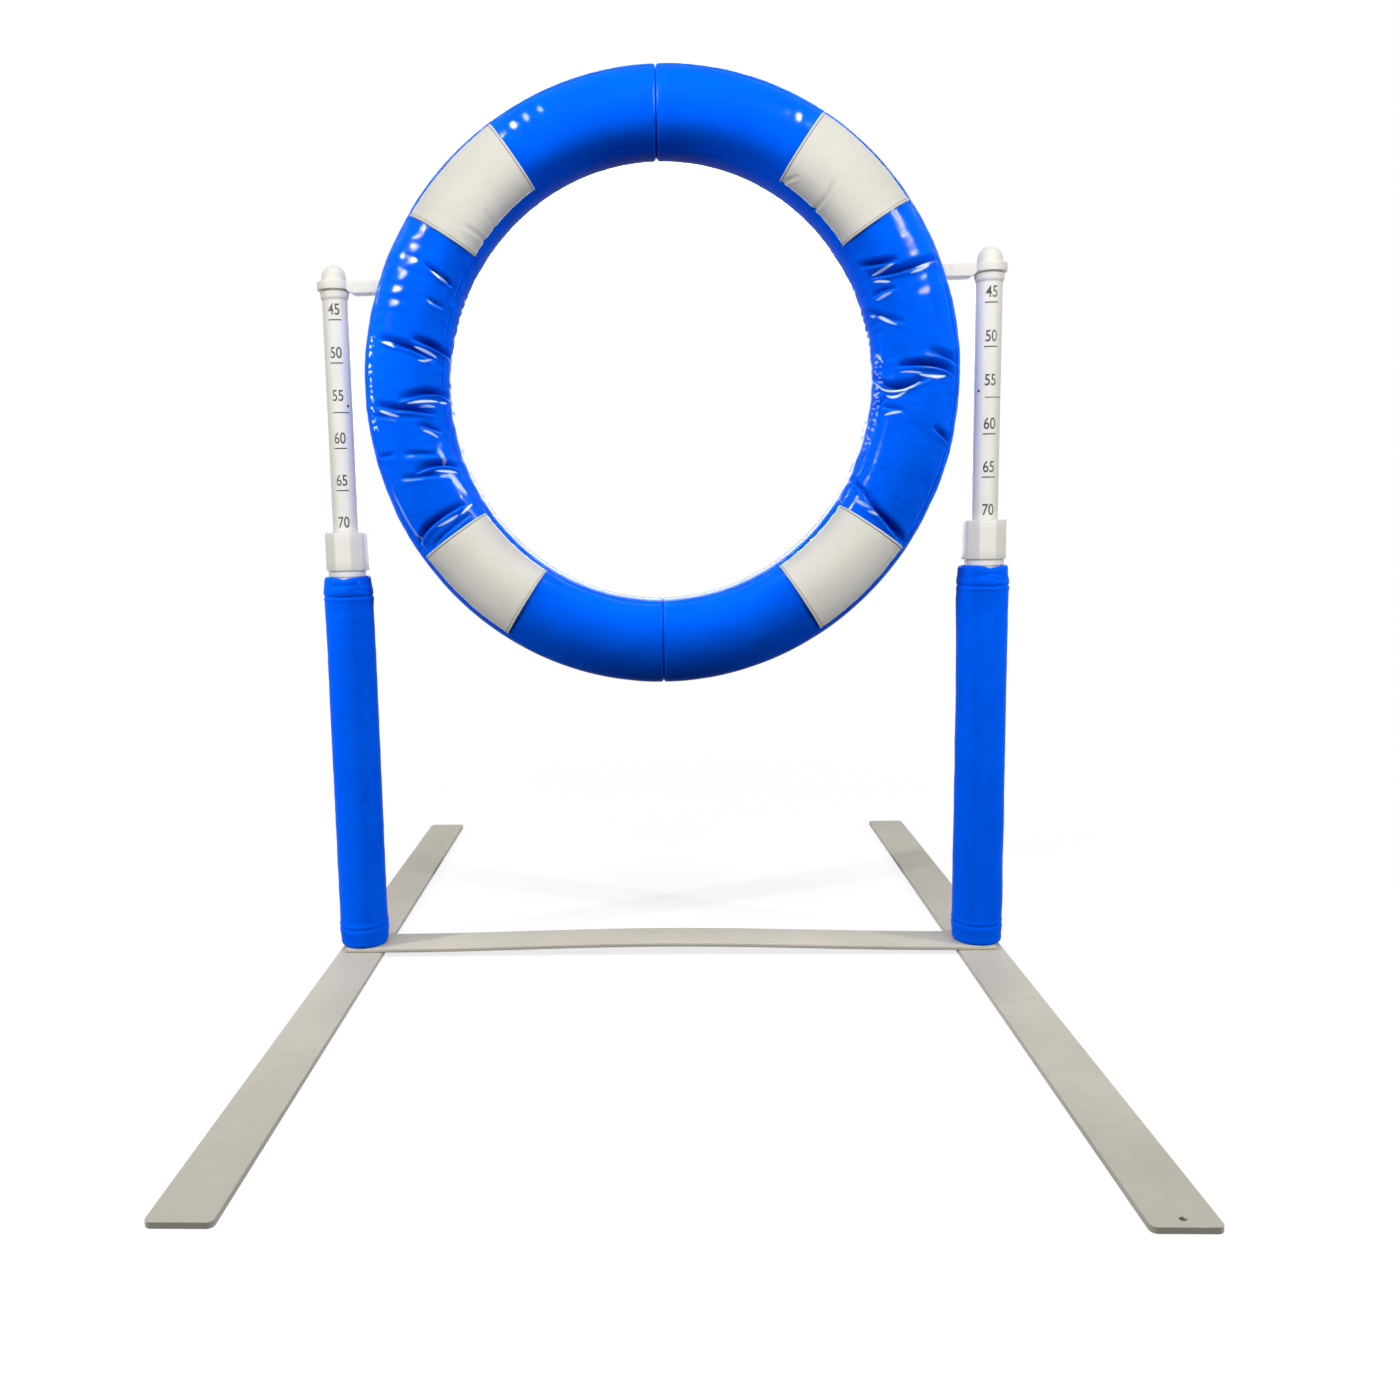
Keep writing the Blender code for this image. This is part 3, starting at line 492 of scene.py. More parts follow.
def smoothstep(x):
    x = np.clip(x, 0, 1)
    return x * x * (3 - 2 * x)


def hump(x):
    """Bell curve, 1 at 0."""
    return np.exp(-(x ** 2))


def stretch(angle, start, end):
    """1 along a stretch of the ring, fading to 0 over two degrees at its ends."""
    return smoothstep((angle - start) / 2) * smoothstep((end - angle) / 2)


def waves(u, v, seed, count=10, low=0.4, high=1.6):
    """Even mix of seeded sine waves over two coordinates, about -1 to 1."""
    rng = np.random.default_rng(seed)
    total = 0 * (u + v)
    for _ in range(count):
        turn, size = rng.uniform(0, math.pi), rng.uniform(low, high)
        shift = rng.uniform(0, 2 * math.pi)
        total = total + np.sin(size * (u * math.cos(turn) + v * math.sin(turn)) + shift)
    return total / math.sqrt(count / 2) / 1.6


# Shape of the padded ring


def pad_outline():
    """Front half of the pad's section: turn, place outward and forward, and the normal there."""
    turn = np.linspace(0, 180, 1441)
    c = np.cos(np.radians(turn))
    out = np.sign(c) * np.abs(c) ** (2 / PAD_POWER) * PAD_T
    t = np.linspace(0, math.pi, 4001)
    c, s = np.cos(t), np.abs(np.sin(t))
    reach = np.sign(c) * np.abs(c) ** (2 / FRONT_POWER) * PAD_T - CREST_SHIFT * s * s
    front = np.interp(-out, -reach, s ** (2 / FRONT_POWER) * PAD_D)
    n_out, n_front = np.gradient(front), -np.gradient(out)
    n_front[[0, -1]] = 0
    size = np.hypot(n_out, n_front)
    return turn, out, front, n_out / size, n_front / size


OUTLINE = pad_outline()


def section(turn):
    """Offset outward and to the front, and the normal's two parts, at a turn in degrees."""
    spread = np.abs((turn + 180) % 360 - 180)
    out, front, n_out, n_front = (np.interp(spread, OUTLINE[0], row) for row in OUTLINE[1:])
    side = np.where(turn % 360 > 180, -1.0, 1.0)
    return out, front * side, n_out, n_front * side


def ring_outward(angle):
    """Across and upward parts of the direction out of the ring, in its own plane."""
    a = np.radians(angle)
    ox, oz = RING_B * np.cos(a), RING_A * np.sin(a)
    size = np.hypot(ox, oz)
    return ox / size, oz / size


def slack(angle, side):
    """How wrinkled the cover is there: loose at the sides, tight over the top."""
    off = np.abs(angle - (180 if side < 0 else 360))
    return 0.12 + 0.88 * (1 - smoothstep((off - 28) / 16))


def sewn_columns():
    """Turns of the coarse cloth's columns, with one on each seam."""
    spans = zip(SEAMS, SEAMS[1:] + (SEAMS[0] + 360,), CLOTH_COLUMNS)
    return np.concatenate([np.linspace(a, b, n, endpoint=False) for a, b, n in spans])


CLOTH_ROWS = 121
CLOTH_COLUMNS = (16, 9, 16, 9)  # from each seam to the next
CLOTH_TURNS = sewn_columns()
CLOTH_SETTINGS = {
    "vertex_group_mass": "sewn", "quality": 6, "mass": 0.15, "shrink_min": -0.035,
    "tension_stiffness": 12, "compression_stiffness": 6, "bending_stiffness": 0.3,
    "use_pressure": True, "uniform_pressure_force": 4,
}
CLOTH_INSET = -0.0015
CLOTH_SWELL = 0.004  # the furthest that the air in the cover may push it
PUFF = {}


def blow_up(label):
    """Run the cover as cloth, sewn down at its seams and ends, and keep how far it moved."""
    first = 90 if SIDES[label] < 0 else 270
    angles = np.linspace(first + 1, first + 179, CLOTH_ROWS)
    rest = pad_surface(angles[:, None], CLOTH_TURNS[None, :], label, CLOTH_INSET)
    cols = len(CLOTH_TURNS)
    mesh = bpy.data.meshes.new("cloth")
    mesh.from_pydata(rest.reshape(-1, 3).tolist(), [], grid_faces(CLOTH_ROWS, cols, False, True))
    ob = linked("cloth", mesh)
    seams = [sum(CLOTH_COLUMNS[:k]) for k in range(len(CLOTH_COLUMNS))]
    sewn = [v for v in range(CLOTH_ROWS * cols) if v % cols in seams or v // cols in (0, CLOTH_ROWS - 1)]
    ob.vertex_groups.new(name="sewn").add(sewn, 1.0, "REPLACE")
    cloth = ob.modifiers.new("cloth", "CLOTH")
    for name, amount in CLOTH_SETTINGS.items():
        setattr(cloth.settings, name, amount)
    cloth.settings.effector_weights.gravity = 0
    cloth.collision_settings.use_collision = False
    scene = bpy.context.scene
    for frame_number in range(1, 21):
        scene.frame_set(frame_number)
    done = ob.evaluated_get(bpy.context.evaluated_depsgraph_get())
    moved = np.empty(len(mesh.vertices) * 3)
    done.data.vertices.foreach_get("co", moved)
    scene.frame_set(1)
    bpy.data.objects.remove(ob)
    ox, oz = ring_outward(angles)
    _, _, n_out, n_front = section(CLOTH_TURNS)
    normal = np.stack([np.outer(ox, n_out), -np.outer(1 + 0 * ox, n_front), np.outer(oz, n_out)], axis=-1)
    push = ((moved.reshape(rest.shape) - rest) * normal).sum(axis=-1)
    PUFF[label] = np.clip(push + CLOTH_INSET, -CLOTH_SWELL, CLOTH_SWELL)


def spline(grid, i, j):
    """Smooth value of a grid at fractional places; the columns wrap round."""
    row, col = np.floor(i).astype(int), np.floor(j).astype(int)
    total = 0
    for a in range(-1, 3):
        for b in range(-1, 3):
            value = grid[np.clip(row + a, 0, len(grid) - 1), (col + b) % grid.shape[1]]
            total = total + value * bell(i - row - a) * bell(j - col - b)
    return total


def bell(t):
    """Weight of a cubic spline's control value at a distance."""
    t = np.abs(t)
    return np.where(t < 1, 2 / 3 - t * t + t ** 3 / 2, np.clip(2 - t, 0, None) ** 3 / 6)


def puff(angle, turn, label):
    """How far the air in the cover has pushed it out there, in metres."""
    if label not in PUFF:
        return 0
    first = 91 if SIDES[label] < 0 else 271
    i = (angle - first) / 178 * (CLOTH_ROWS - 1)
    wrapped = (turn - SEAMS[0]) % 360 + SEAMS[0]
    j = np.interp(wrapped, np.append(CLOTH_TURNS, SEAMS[0] + 360), np.arange(len(CLOTH_TURNS) + 1))
    return spline(PUFF[label], i + 0 * j, j + 0 * i)


def off_line(angle, turn, angles, turns):
    """Millimetres beyond a curved line on the cover, place along it and millimetres past its ends."""
    (a0, a1, a2), (t0, t2) = angles, turns
    s = np.clip((turn - t0) / (t2 - t0), 0, 1)
    middle = 2 * a1 - (a0 + a2) / 2
    line = (1 - s) ** 2 * a0 + 2 * s * (1 - s) * middle + s * s * a2
    slope = (a2 - a0) * MM_PER_ANGLE / ((t2 - t0) * MM_PER_TURN)
    v = (angle - line) * MM_PER_ANGLE / math.sqrt(1 + slope * slope)
    return v, s, np.abs(turn - (t0 + s * (t2 - t0))) * MM_PER_TURN


def fold_place(angle, turn, fold, up):
    """Distance above a fold's line in millimetres, and how much of its depth is left there."""
    v, s, over = off_line(angle, turn, *fold[:2])
    return v * up, np.sin(math.pi * s) ** 0.6 * hump(over / 3)


def crease(angle, turn, fold, up):
    """Depth in metres of one fold: a curved valley with a soft upper and a steep lower side."""
    depth, above, below = fold[2:]
    v, taper = fold_place(angle, turn, fold, up)
    valley = hump(v / np.where(v > 0, above, below))
    lip = 0.4 * hump((v + 1.6 * below + 1.6) / (below + 1.4))
    brow = 0.14 * hump((v - 1.9 * above) / (0.9 * above))
    return (lip + brow - 1.6 * valley) * taper * depth / 1000


def relief(angle, turn, label):
    """Displacement of the cover along its normal, in metres."""
    side = SIDES[label]
    along, around = angle * MM_PER_ANGLE, turn * MM_PER_TURN
    loose = slack(angle, side)
    calm = 0.3 + 0.7 * np.sin(np.radians(turn)) ** 2  # the outlines stay nearly even
    d = 0.0011 * loose * calm * waves(along / 26, around / 30, 11 + side)
    d = d + 0.00045 * loose * calm * waves(along / 9, around / 16, 15 + side)
    d = d + 0.00016 * loose * waves(along / 2.4, around / 7, 17 + side)
    d = d + (0.06 + 0.3 * loose) * calm * puff(angle, turn, label)
    for k, seam in enumerate(SEAMS):
        u = ((turn - seam + 180) % 360 - 180) * MM_PER_TURN
        d = d - 0.0013 * hump(u / 1.3) - 0.0009 * np.exp(-np.abs(u) / 5)
        pucker = waves(along / 3.0, u / 20, 21 + 3 * k + side, 10, 0.7, 2.0)
        near = hump(u / 8) * (1 - hump(u / 1.6))
        d = d + (0.0002 + 0.0006 * loose) * pucker * near
    for start, end, middle, height in SWELLS[label]:
        band = stretch(angle, start, end) * hump((turn - middle) / 14)
        d = d + height / 1000 * band * np.sin(2 * math.pi * along / 16 + turn / 14)
    for fold in FOLDS[label] + PANEL_FOLDS[label]:
        d = d + crease(angle, turn, fold, side)
    return d


def painted_crease_shade(angle, turn, label):
    """Painted shade in the hollow of each fold: how deep in it the vinyl lies, 0 to 1."""
    total = 0 * (angle + turn)
    for fold in FOLDS[label]:
        v, taper = fold_place(angle, turn, fold, SIDES[label])
        depth, above, _ = fold[2:]
        core = hump((v - 0.3 * above) / (0.62 * above))
        total = np.maximum(total, core * taper ** 2 * min(1, depth / 4.5))
    return 0.85 * total


def painted_glint(angle, turn, label):
    """Painted highlights along the lips of the creases and in rows of puckers, 0 to 1."""
    first, last, middle, strength = PAINTED_GLINT_ROWS[label]
    spots = smoothstep(waves(angle * MM_PER_ANGLE / 1.1, turn / 2.4, 31, 12, 0.6, 1.5) / 0.35 - 0.8)
    total = strength * stretch(angle, first, last) * spots * np.exp(-(((turn - middle) / 6) ** 4))
    for angles, turns, wide, strength in PAINTED_GLINT_LINES[label]:
        v, s, over = off_line(angle, turn, angles, turns)
        narrow = wide * (0.3 + 0.7 * np.sin(math.pi * s) ** 0.7)
        total = np.maximum(total, strength * np.exp(-((v / narrow) ** 4) - over ** 2))
    return total


def pad_surface(angle, turn, label, lift=0.0):
    """Points of the finished cover, or of what lies on it, at angles and turns in degrees."""
    out, front, n_out, n_front = section(turn)
    ox, oz = ring_outward(angle)
    off = np.minimum(np.abs(angle % 180 - 90), 90)
    draw = 1 - END_DRAW * np.clip(1 - off / END_SPAN, 0, 1) ** 2
    d = relief(angle, turn, label) * smoothstep(off / 2.0) + lift
    o = out * draw + n_out * d
    a = np.radians(angle)
    x = RING_A * np.cos(a) + ox * o
    y = -(front * draw + n_front * d)
    z = RING_Z + RING_B * np.sin(a) + oz * o
    pocket = n_out * arm_pocket(x, y, z, SIDES[label])
    return np.stack([x - ox * pocket, y, z - oz * pocket], axis=-1)


def arm_pocket(x, y, z, side):
    """Depth of the slot that the arm enters, with its soft rim."""
    outer = smoothstep((side * x - 0.30) / 0.01)
    wide = smoothstep((0.0142 - np.abs(y)) / 0.0025)
    high = smoothstep((z - (ARM_BASE - 0.0085)) / 0.004) * smoothstep((EYE_TOP + 0.0022 - z) / 0.0022)
    return 0.024 * outer * wide * high


def cover_turns():
    """Turns round the section, closer together at the seams."""
    near = [s + o for s in SEAMS for o in (-3.4, -2.2, -1.3, -0.6, 0, 0.6, 1.3, 2.2, 3.4)]
    free = [t for t in np.arange(0, 360, 2.0) if min(abs(t - s) for s in SEAMS) > 4.2]
    return np.array(sorted(near + free))


def cover_angles(label):
    """Angles along the half, closer together where it is creased."""
    first = 90 if SIDES[label] < 0 else 270
    angle, made = first + 0.4, []
    creased = [(min(fold[0]) - 1.6, max(fold[0]) + 1.6) for fold in FOLDS[label]]
    while angle < first + 179.6 - 0.1:
        made.append(angle)
        angle += 0.16 if any(low < angle < high for low, high in creased) else 0.34
    return np.array(made + [first + 179.6])


def end_rows(label, top, turns):
    """Rows that roll the cover's end in round the end plate, from the outside inward."""
    side = SIDES[label]
    out, front, _, _ = section(turns)
    steps = ((1.5, 0.985), (0.9, 0.978), (0.45, 0.966), (0.15, 0.945), (0.05, 0.92), (0.05, 0.9))
    steps += ((0.05, 0.875), (1.2, 0.865), (2.2, 0.865), (4.1, 0.87), (4.3, 0.905), (15.2, 0.935))
    rows = []
    for inset, scale in steps:
        x = side * (inset / 1000 + 0 * front)
        z = RING_Z + top * (RING_B + out * scale)
        rows.append(np.stack([x, -front * scale, z + 0 * x], axis=-1))
    return rows


def ring_cover(label):
    """Vinyl cover of one half, with its painted shade and painted highlights marked along the creases for the
    vinyl's colour.
    """
    turns = cover_turns()
    angles = cover_angles(label)
    body = pad_surface(angles[:, None], turns[None, :], label)
    start = end_rows(label, -SIDES[label], turns)
    finish = end_rows(label, SIDES[label], turns)
    rows = np.array(start[::-1] + list(body) + finish)
    faces = rings_faces(len(rows), len(turns))
    nodes = (f"{label}_ring_cover", f"{label}_foam_core")
    ob = piece(f"{label}_padded_cover", rows, faces, "blue_vinyl", f"{label}_half", nodes)
    # marks of the painted highlights and the painted shade along the creases
    for name, amount in (("painted_glint", painted_glint), ("painted_crease_shade", painted_crease_shade)):
        marks = np.zeros(rows.shape[:2])
        marks[len(start):len(start) + len(angles)] = amount(angles[:, None], turns[None, :], label)
        ob.data.attributes.new(name, "FLOAT", "POINT").data.foreach_set("value", marks.ravel())


def white_panel(label, level):
    """Satin panel between the seams, with a hem strip and a stitch line at each end."""
    a0, a1 = PANELS[label][level]
    ends = np.array([0, 0.06, 0.16, 0.3, 0.42, 0.5, 0.56, 0.62, 0.7, 0.85])
    angles = np.concatenate([a0 + ends, np.linspace(a0 + 1.05, a1 - 1.05, 60), a1 - ends[::-1]])
    t0, t1 = SEAMS[0] + 0.9, SEAMS[1] - 0.9
    edge = np.array([0, 0.25, 0.6])
    turns = np.concatenate([t0 + edge, np.linspace(t0 + 1.2, t1 - 1.2, 70), t1 - edge[::-1]])
    along = np.minimum(angles - a0, a1 - angles)[:, None] * MM_PER_ANGLE
    across = np.minimum(turns - t0, t1 - turns)[None, :] * MM_PER_TURN
    rim = smoothstep(np.minimum(along / 0.6, across / 1.0))
    hem = 0.0006 * smoothstep((2.6 - along) / 0.4) - 0.0007 * hump((along - STITCH_INSET) / 0.4)
    lift = 0.0003 + rim * (0.0012 + hem)
    top = pad_surface(angles[:, None], turns[None, :], label, lift)
    base = pad_surface(angles[:, None], turns[None, :], label, 0.0001 + 0 * lift)
    rows, cols = len(angles), len(turns)
    under = rows * cols
    faces = grid_faces(rows, cols)
    faces += [[v + under for v in quad[::-1]] for quad in faces]
    at = np.arange(under).reshape(rows, cols)
    rim_line = [*at[:, 0], *at[-1, 1:], *at[-2::-1, -1], *at[0, -2:0:-1]]
    for v, w in zip(rim_line, rim_line[1:] + rim_line[:1]):
        faces.append([int(v), int(w), int(w) + under, int(v) + under])
    verts = np.concatenate([top.reshape(-1, 3), base.reshape(-1, 3)])
    name = f"{label}_{level}_white_panel"
    outward(piece(name + "_vinyl", verts, faces, "white_vinyl", f"{label}_half", (name,)))
    stitches(label, level, a0, a1)


def stitches(label, level, a0, a1):
    """Short thread stitches in the groove along each end of a panel."""
    verts, faces = [], []
    for angle in (a0 + STITCH_INSET / MM_PER_ANGLE, a1 - STITCH_INSET / MM_PER_ANGLE):
        turn = SEAMS[0] + 3
        while turn < SEAMS[1] - 4:
            ends = np.array([turn, turn + 0.8, turn + 1.7, turn + 2.5])
            line = pad_surface(np.full(4, angle), ends, label, np.array([0.0007, 0.0014, 0.0014, 0.0007]))
            add_tube(verts, faces, line, 0.00038)
            turn += 3.3
    piece(f"{label}_{level}_panel_stitches", verts, faces, "thread", f"{label}_half")


def add_tube(verts, faces, line, radius, sides=6):
    """Append a small closed tube along a line of points."""
    start = len(verts)
    line = np.asarray(line)
    for i, p in enumerate(line):
        along = line[min(i + 1, len(line) - 1)] - line[max(i - 1, 0)]
        along = along / np.linalg.norm(along)
        a = np.cross(along, (0.3, 0.5, 0.81))
        a = a / np.linalg.norm(a)
        b = np.cross(along, a)
        for k in range(sides):
            t = 2 * math.pi * k / sides
            verts.append(p + radius * (math.cos(t) * a + math.sin(t) * b))
    for face in rings_faces(len(line), sides):
        faces.append([start + v for v in face])


# Posts


def sleeve_vee(front, side):
    """How much the sleeve's top edge is drawn down there, 0 to 1."""
    return np.exp(-np.abs((front - VEE_AT[side]) / 16) ** 1.2)


def sleeve_radius(height, front, side):
    """Radius of the sleeve at a height in metres and a turn in degrees from the front."""
    drop = COVER_TOP - COVER_BASE - height
    around = front * SLEEVE_MM_PER_DEGREE
    r = COVER_R - 0.0013 + 0 * (height + front)
    for end in (height, drop):
        r = r - 0.0016 * hump(end / 0.0016) - 0.0007 * (1 - smoothstep(end / 0.018))
        off = (end - HEM) * 1000
        r = r - 0.0011 * hump(off) + 0.0007 * hump((off + 5) / 5)
        r = r + 0.0006 * hump((off - 3) / 2.5)
    loose = 0.25 + 0.75 * hump(drop / 0.05) + 0.3 * hump(height / 0.03)
    r = r + 0.0007 * loose * waves(height * 1000 / 9, around / 14, 41 + side)
    r = r + 0.0004 * loose * waves(height * 1000 / 4, around / 9, 45 + side)
    r = r + 0.0004 * waves(height * 1000 / 60, around / 20, 47 + side)
    r = r - 0.0016 * sleeve_vee(front, side) * hump(drop / 0.006)
    for shift, under, wide, deep in ((0, 7, 26, 1.2), (-12, 11, 20, 0.9), (30, 15, 24, 0.8)):
        off = front - VEE_AT[side] - shift
        v = drop * 1000 - under - np.abs(off) * 0.12
        r = r - deep / 1000 * hump(v / 1.6) * hump(off / wide)
    if side > 0:
        bulge = hump((front + 95) / 50) * hump((height - 0.41) / 0.05)
        r = r + 0.0015 * bulge
    back = (np.abs(front) - 180) * SLEEVE_MM_PER_DEGREE
    return r + 0.0007 * smoothstep(7 + back) - 0.0005 * hump((back + 4.6) / 0.5)


def post_cover(label):
    """Vinyl sleeve with its hems, drawn edge, small wrinkles and back seam."""
    side = SIDES[label]
    height = COVER_TOP - COVER_BASE
    turn = np.linspace(0, 2 * math.pi, 192, endpoint=False)
    front = np.degrees((turn + math.pi / 2 + math.pi) % (2 * math.pi) - math.pi)[None, :]
    low = [0.0, 0.0006, 0.0016, 0.003]
    level = np.concatenate([low, np.linspace(0.0045, height - 0.0045, 330), height - np.array(low[::-1])])
    h = level[:, None]
    r = sleeve_radius(h, front, side)
    edge = waves(front * SLEEVE_MM_PER_DEGREE / 12, 0 * h, 49 + side)
    z = COVER_BASE + h + 0.0005 * edge * smoothstep((h - height + 0.02) / 0.02)
    z = z - 0.0032 * sleeve_vee(front, side) * smoothstep((h - height + 0.03) / 0.03)
    outer = about_post(side * POST_X, r, np.clip(z, COVER_BASE, COVER_TOP), turn)
    centre = np.array([side * POST_X, 0, 0])
    inner_base = centre + (outer[0] - centre) * np.array([0.78, 0.78, 1.0])
    scale = COVER_LIP_R / r[-1][:, None]
    inner_top = centre + (outer[-1] - centre) * np.concatenate([scale, scale, 1 + 0 * scale], axis=1)
    inner_top[:, 2] -= 0.0004
    rows = np.concatenate([[inner_base], outer, [inner_top]])
    faces = grid_faces(len(rows), len(turn), True, True)
    nodes = (f"{label}_post_cover", f"{label}_post_foam")
    ob = piece(f"{label}_padded_sleeve", rows, faces, "blue_vinyl", "base", nodes)
    outward(ob)


def foot_bar(label):
    side = SIDES[label]
    low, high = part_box(f"{label}_foot_bar")
    r = 0.006
    x0, x1, y0, y1 = low.x + r, high.x - r, low.y + r, high.y - r
    outline = []
    for k, (x, y) in enumerate(((x1, y1), (x0, y1), (x0, y0), (x1, y0))):
        outline += arc(x, y, r, 90 * k, 90 * k + 90, 8)
    name, node = f"{label}_foot_plate", f"{label}_foot_bar"
    ob = prism(name, outline, low.z, high.z, 0.0007, "coated_steel", "base", (node,))
    if side > 0:
        drill(ob, (side * POST_X, low.y + 0.011), 0.003)


def drill(ob, at, radius):
    """Cut a through hole, before the edges are softened."""
    bpy.ops.mesh.primitive_cylinder_add(vertices=40, radius=radius, depth=0.1, location=(*at, 0))
    cutter = bpy.context.object
    mod = ob.modifiers.new("hole", "BOOLEAN")
    mod.operation = "DIFFERENCE"
    mod.object = cutter
    with bpy.context.temp_override(object=ob, active_object=ob, selected_objects=[ob]):
        bpy.ops.object.modifier_move_to_index(modifier="hole", index=0)
        bpy.ops.object.modifier_apply(modifier="hole")
    bpy.data.objects.remove(cutter)


def crossbar():
    """Flat bar, bowed up between the posts."""
    low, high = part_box("crossbar")
    xs = np.linspace(low.x, high.x, 121)
    flat = POST_X - 0.028
    rise = CROSSBAR_BOW * np.cos(math.pi / 2 * np.minimum(np.abs(xs) / flat, 1)) ** 2
    y0, y1, e, c, t = low.y, high.y, 0.0007, 0.0002, CROSSBAR_TOP - CROSSBAR_BASE
    ring = [(y0 + e, 0), (y1 - e, 0), (y1 - c, c), (y1, e), (y1, t - e), (y1 - c, t - c)]
    ring += [(y1 - e, t), (y0 + e, t), (y0 + c, t - c), (y0, t - e), (y0, e), (y0 + c, c)]
    ring = np.array(ring)
    rows = []
    for x, up in zip(xs, rise):
        rows.append(np.stack([0 * ring[:, 0] + x, ring[:, 0], CROSSBAR_BASE + up + ring[:, 1]], axis=-1))
    faces = rings_faces(len(xs), len(ring))
    outward(piece("crossbar_plate", rows, faces, "coated_steel", "base", ("crossbar",)), 50)


def bushing(label):
    x = SIDES[label] * POST_X
    profile = [(0.0235, 0.4765), (0.0235, NECK_BASE), (0.0215, NECK_BASE)]
    for k in range(7):
        z = NECK_BASE + 0.002 + 0.0036 * k
        profile += [(0.0212, z), (0.0203, z + 0.0012), (0.0203, z + 0.0018), (0.0212, z + 0.003)]
    profile += [(0.0205, 0.5115), (0.0158, 0.5115), (0.0158, 0.4465), (0.0182, 0.4465), (0.0182, 0.4765)]
    lathe(f"{label}_bushing", profile, x, "off_white_plastic", "base", (f"{label}_threaded_bushing",), 0.0004)


def clamp_nut(label):
    """Nine-sided nut with soft corners, a dished top and a bore round the neck."""
    x = SIDES[label] * POST_X
    segments = 180
    turn = np.linspace(0, 2 * math.pi, segments, endpoint=False)
    local = (np.degrees(turn) - 90 - NUT_TURN[label] + 20) % 40 - 20
    apothem = NUT_CORNER_R * math.cos(math.radians(20))
    flats = apothem / np.cos(np.radians(20 - np.abs(local)))
    facet = (flats ** -60 + (0.994 * NUT_CORNER_R) ** -60) ** (-1 / 60)
    e = 0.0014
    corner = ((0.0, 0.0016), (0.0002, 0.0009), (0.0007, 0.0003), (e, 0.0))
    rows = [(NUT_BASE + up, facet - inset) for up, inset in corner]
    rows += [(NUT_BASE + e + (NUT_TOP - NUT_BASE - 2 * e) * share, facet) for share in (0.25, 0.5, 0.75)]
    rows += [(NUT_TOP - up, facet - inset) for up, inset in corner[::-1]]
    rows += [(NUT_TOP - 0.0003, 0.0205), (NUT_TOP - 0.0009, 0.0180), (NUT_TOP - 0.0010, 0.0171)]
    rows += [(NUT_TOP - 0.003, 0.0165), (0.5125, 0.0165), (0.5118, 0.0218)]
    rows += [(NUT_BASE + 0.0006, 0.0218), (NUT_BASE, 0.0224)]
    verts = np.array([about_post(x, r, z, turn) for z, r in rows])
    faces = grid_faces(len(rows), segments, True, True)
    name, node = f"{label}_nut_moulding", f"{label}_clamp_nut"
    outward(piece(name, verts, faces, "off_white_plastic", f"{label}_nut", (node,)), 50)


def column(label):
    """Sliding tube with the collar and the cap at its top."""
    x, body, look = SIDES[label] * POST_X, f"{label}_column", "off_white_plastic"
    profile = [(INNER_R, INNER_BASE), (INNER_R, INNER_TOP), (INNER_BORE, INNER_TOP), (INNER_BORE, INNER_BASE)]
    lathe(f"{label}_tube", profile, x, look, body, (f"{label}_inner_tube",), 0.0005, 96)
    profile = [(0.0158, 0.8045), (0.0161, 0.8045), (0.0173, 0.8072), (0.0173, 0.8135), (0.0145, 0.8137)]
    profile += [(0.0145, 0.8150), (PIN_BORE_R, 0.8150), (PIN_BORE_R, 0.8121), (0.0158, 0.8121)]
    lathe(f"{label}_collar", profile, x, look, body, (f"{label}_top_collar",), 0.0007)
    profile = [(CAP_R - 0.0004, CAP_BASE), (CAP_R, CAP_BASE + 0.0006)]
    for t in np.radians(np.linspace(0, 90, 13)):
        dome = CAP_HEIGHT - CAP_R + CAP_R * math.sin(t)
        profile.append((max(CAP_R * math.cos(t), 0.0002), CAP_BASE + dome))
    hollow = CAP_BASE + 0.0128
    profile += [(0.0002, hollow), (PIN_BORE_R, hollow), (PIN_BORE_R, CAP_BASE)]
    lathe(f"{label}_cap", profile, x, look, body, (f"{label}_dome_cap",), 0.0002)


def arm(label):
    """Eye round the pin and bar to the ring, with soft moulded edges."""
    side = SIDES[label]
    x = side * POST_X
    body, look = f"{label}_half", "off_white_plastic"
    profile = [(0.0205, EYE_BASE), (0.0205, EYE_TOP), (PIN_BORE_R, EYE_TOP), (PIN_BORE_R, EYE_BASE)]
    lathe(f"{label}_arm_eye", profile, x, look, body, (), 0.0012, 96)
    half = 0.011
    reach, stop = 0.262, POST_X - 0.0135
    places = (reach, reach + 0.002, POST_X - 0.026, POST_X - 0.0215, stop - 0.003, stop)
    rises = (0, 0, 0, 0.0003, 0.004, 0.0052)
    rows = []
    for place, rise in zip(places, rises):
        low = ARM_BASE + rise
        ring = softened([(-half, low), (half, low), (half, EYE_TOP), (-half, EYE_TOP)], 0.0013, 4)
        rows.append(np.stack([0 * ring[:, 0] + side * place, ring[:, 0], ring[:, 1]], axis=-1))
    faces = rings_faces(len(rows), len(rows[0]))
    outward(piece(f"{label}_arm_bar", rows, faces, look, body, (f"{label}_arm",)), 40)


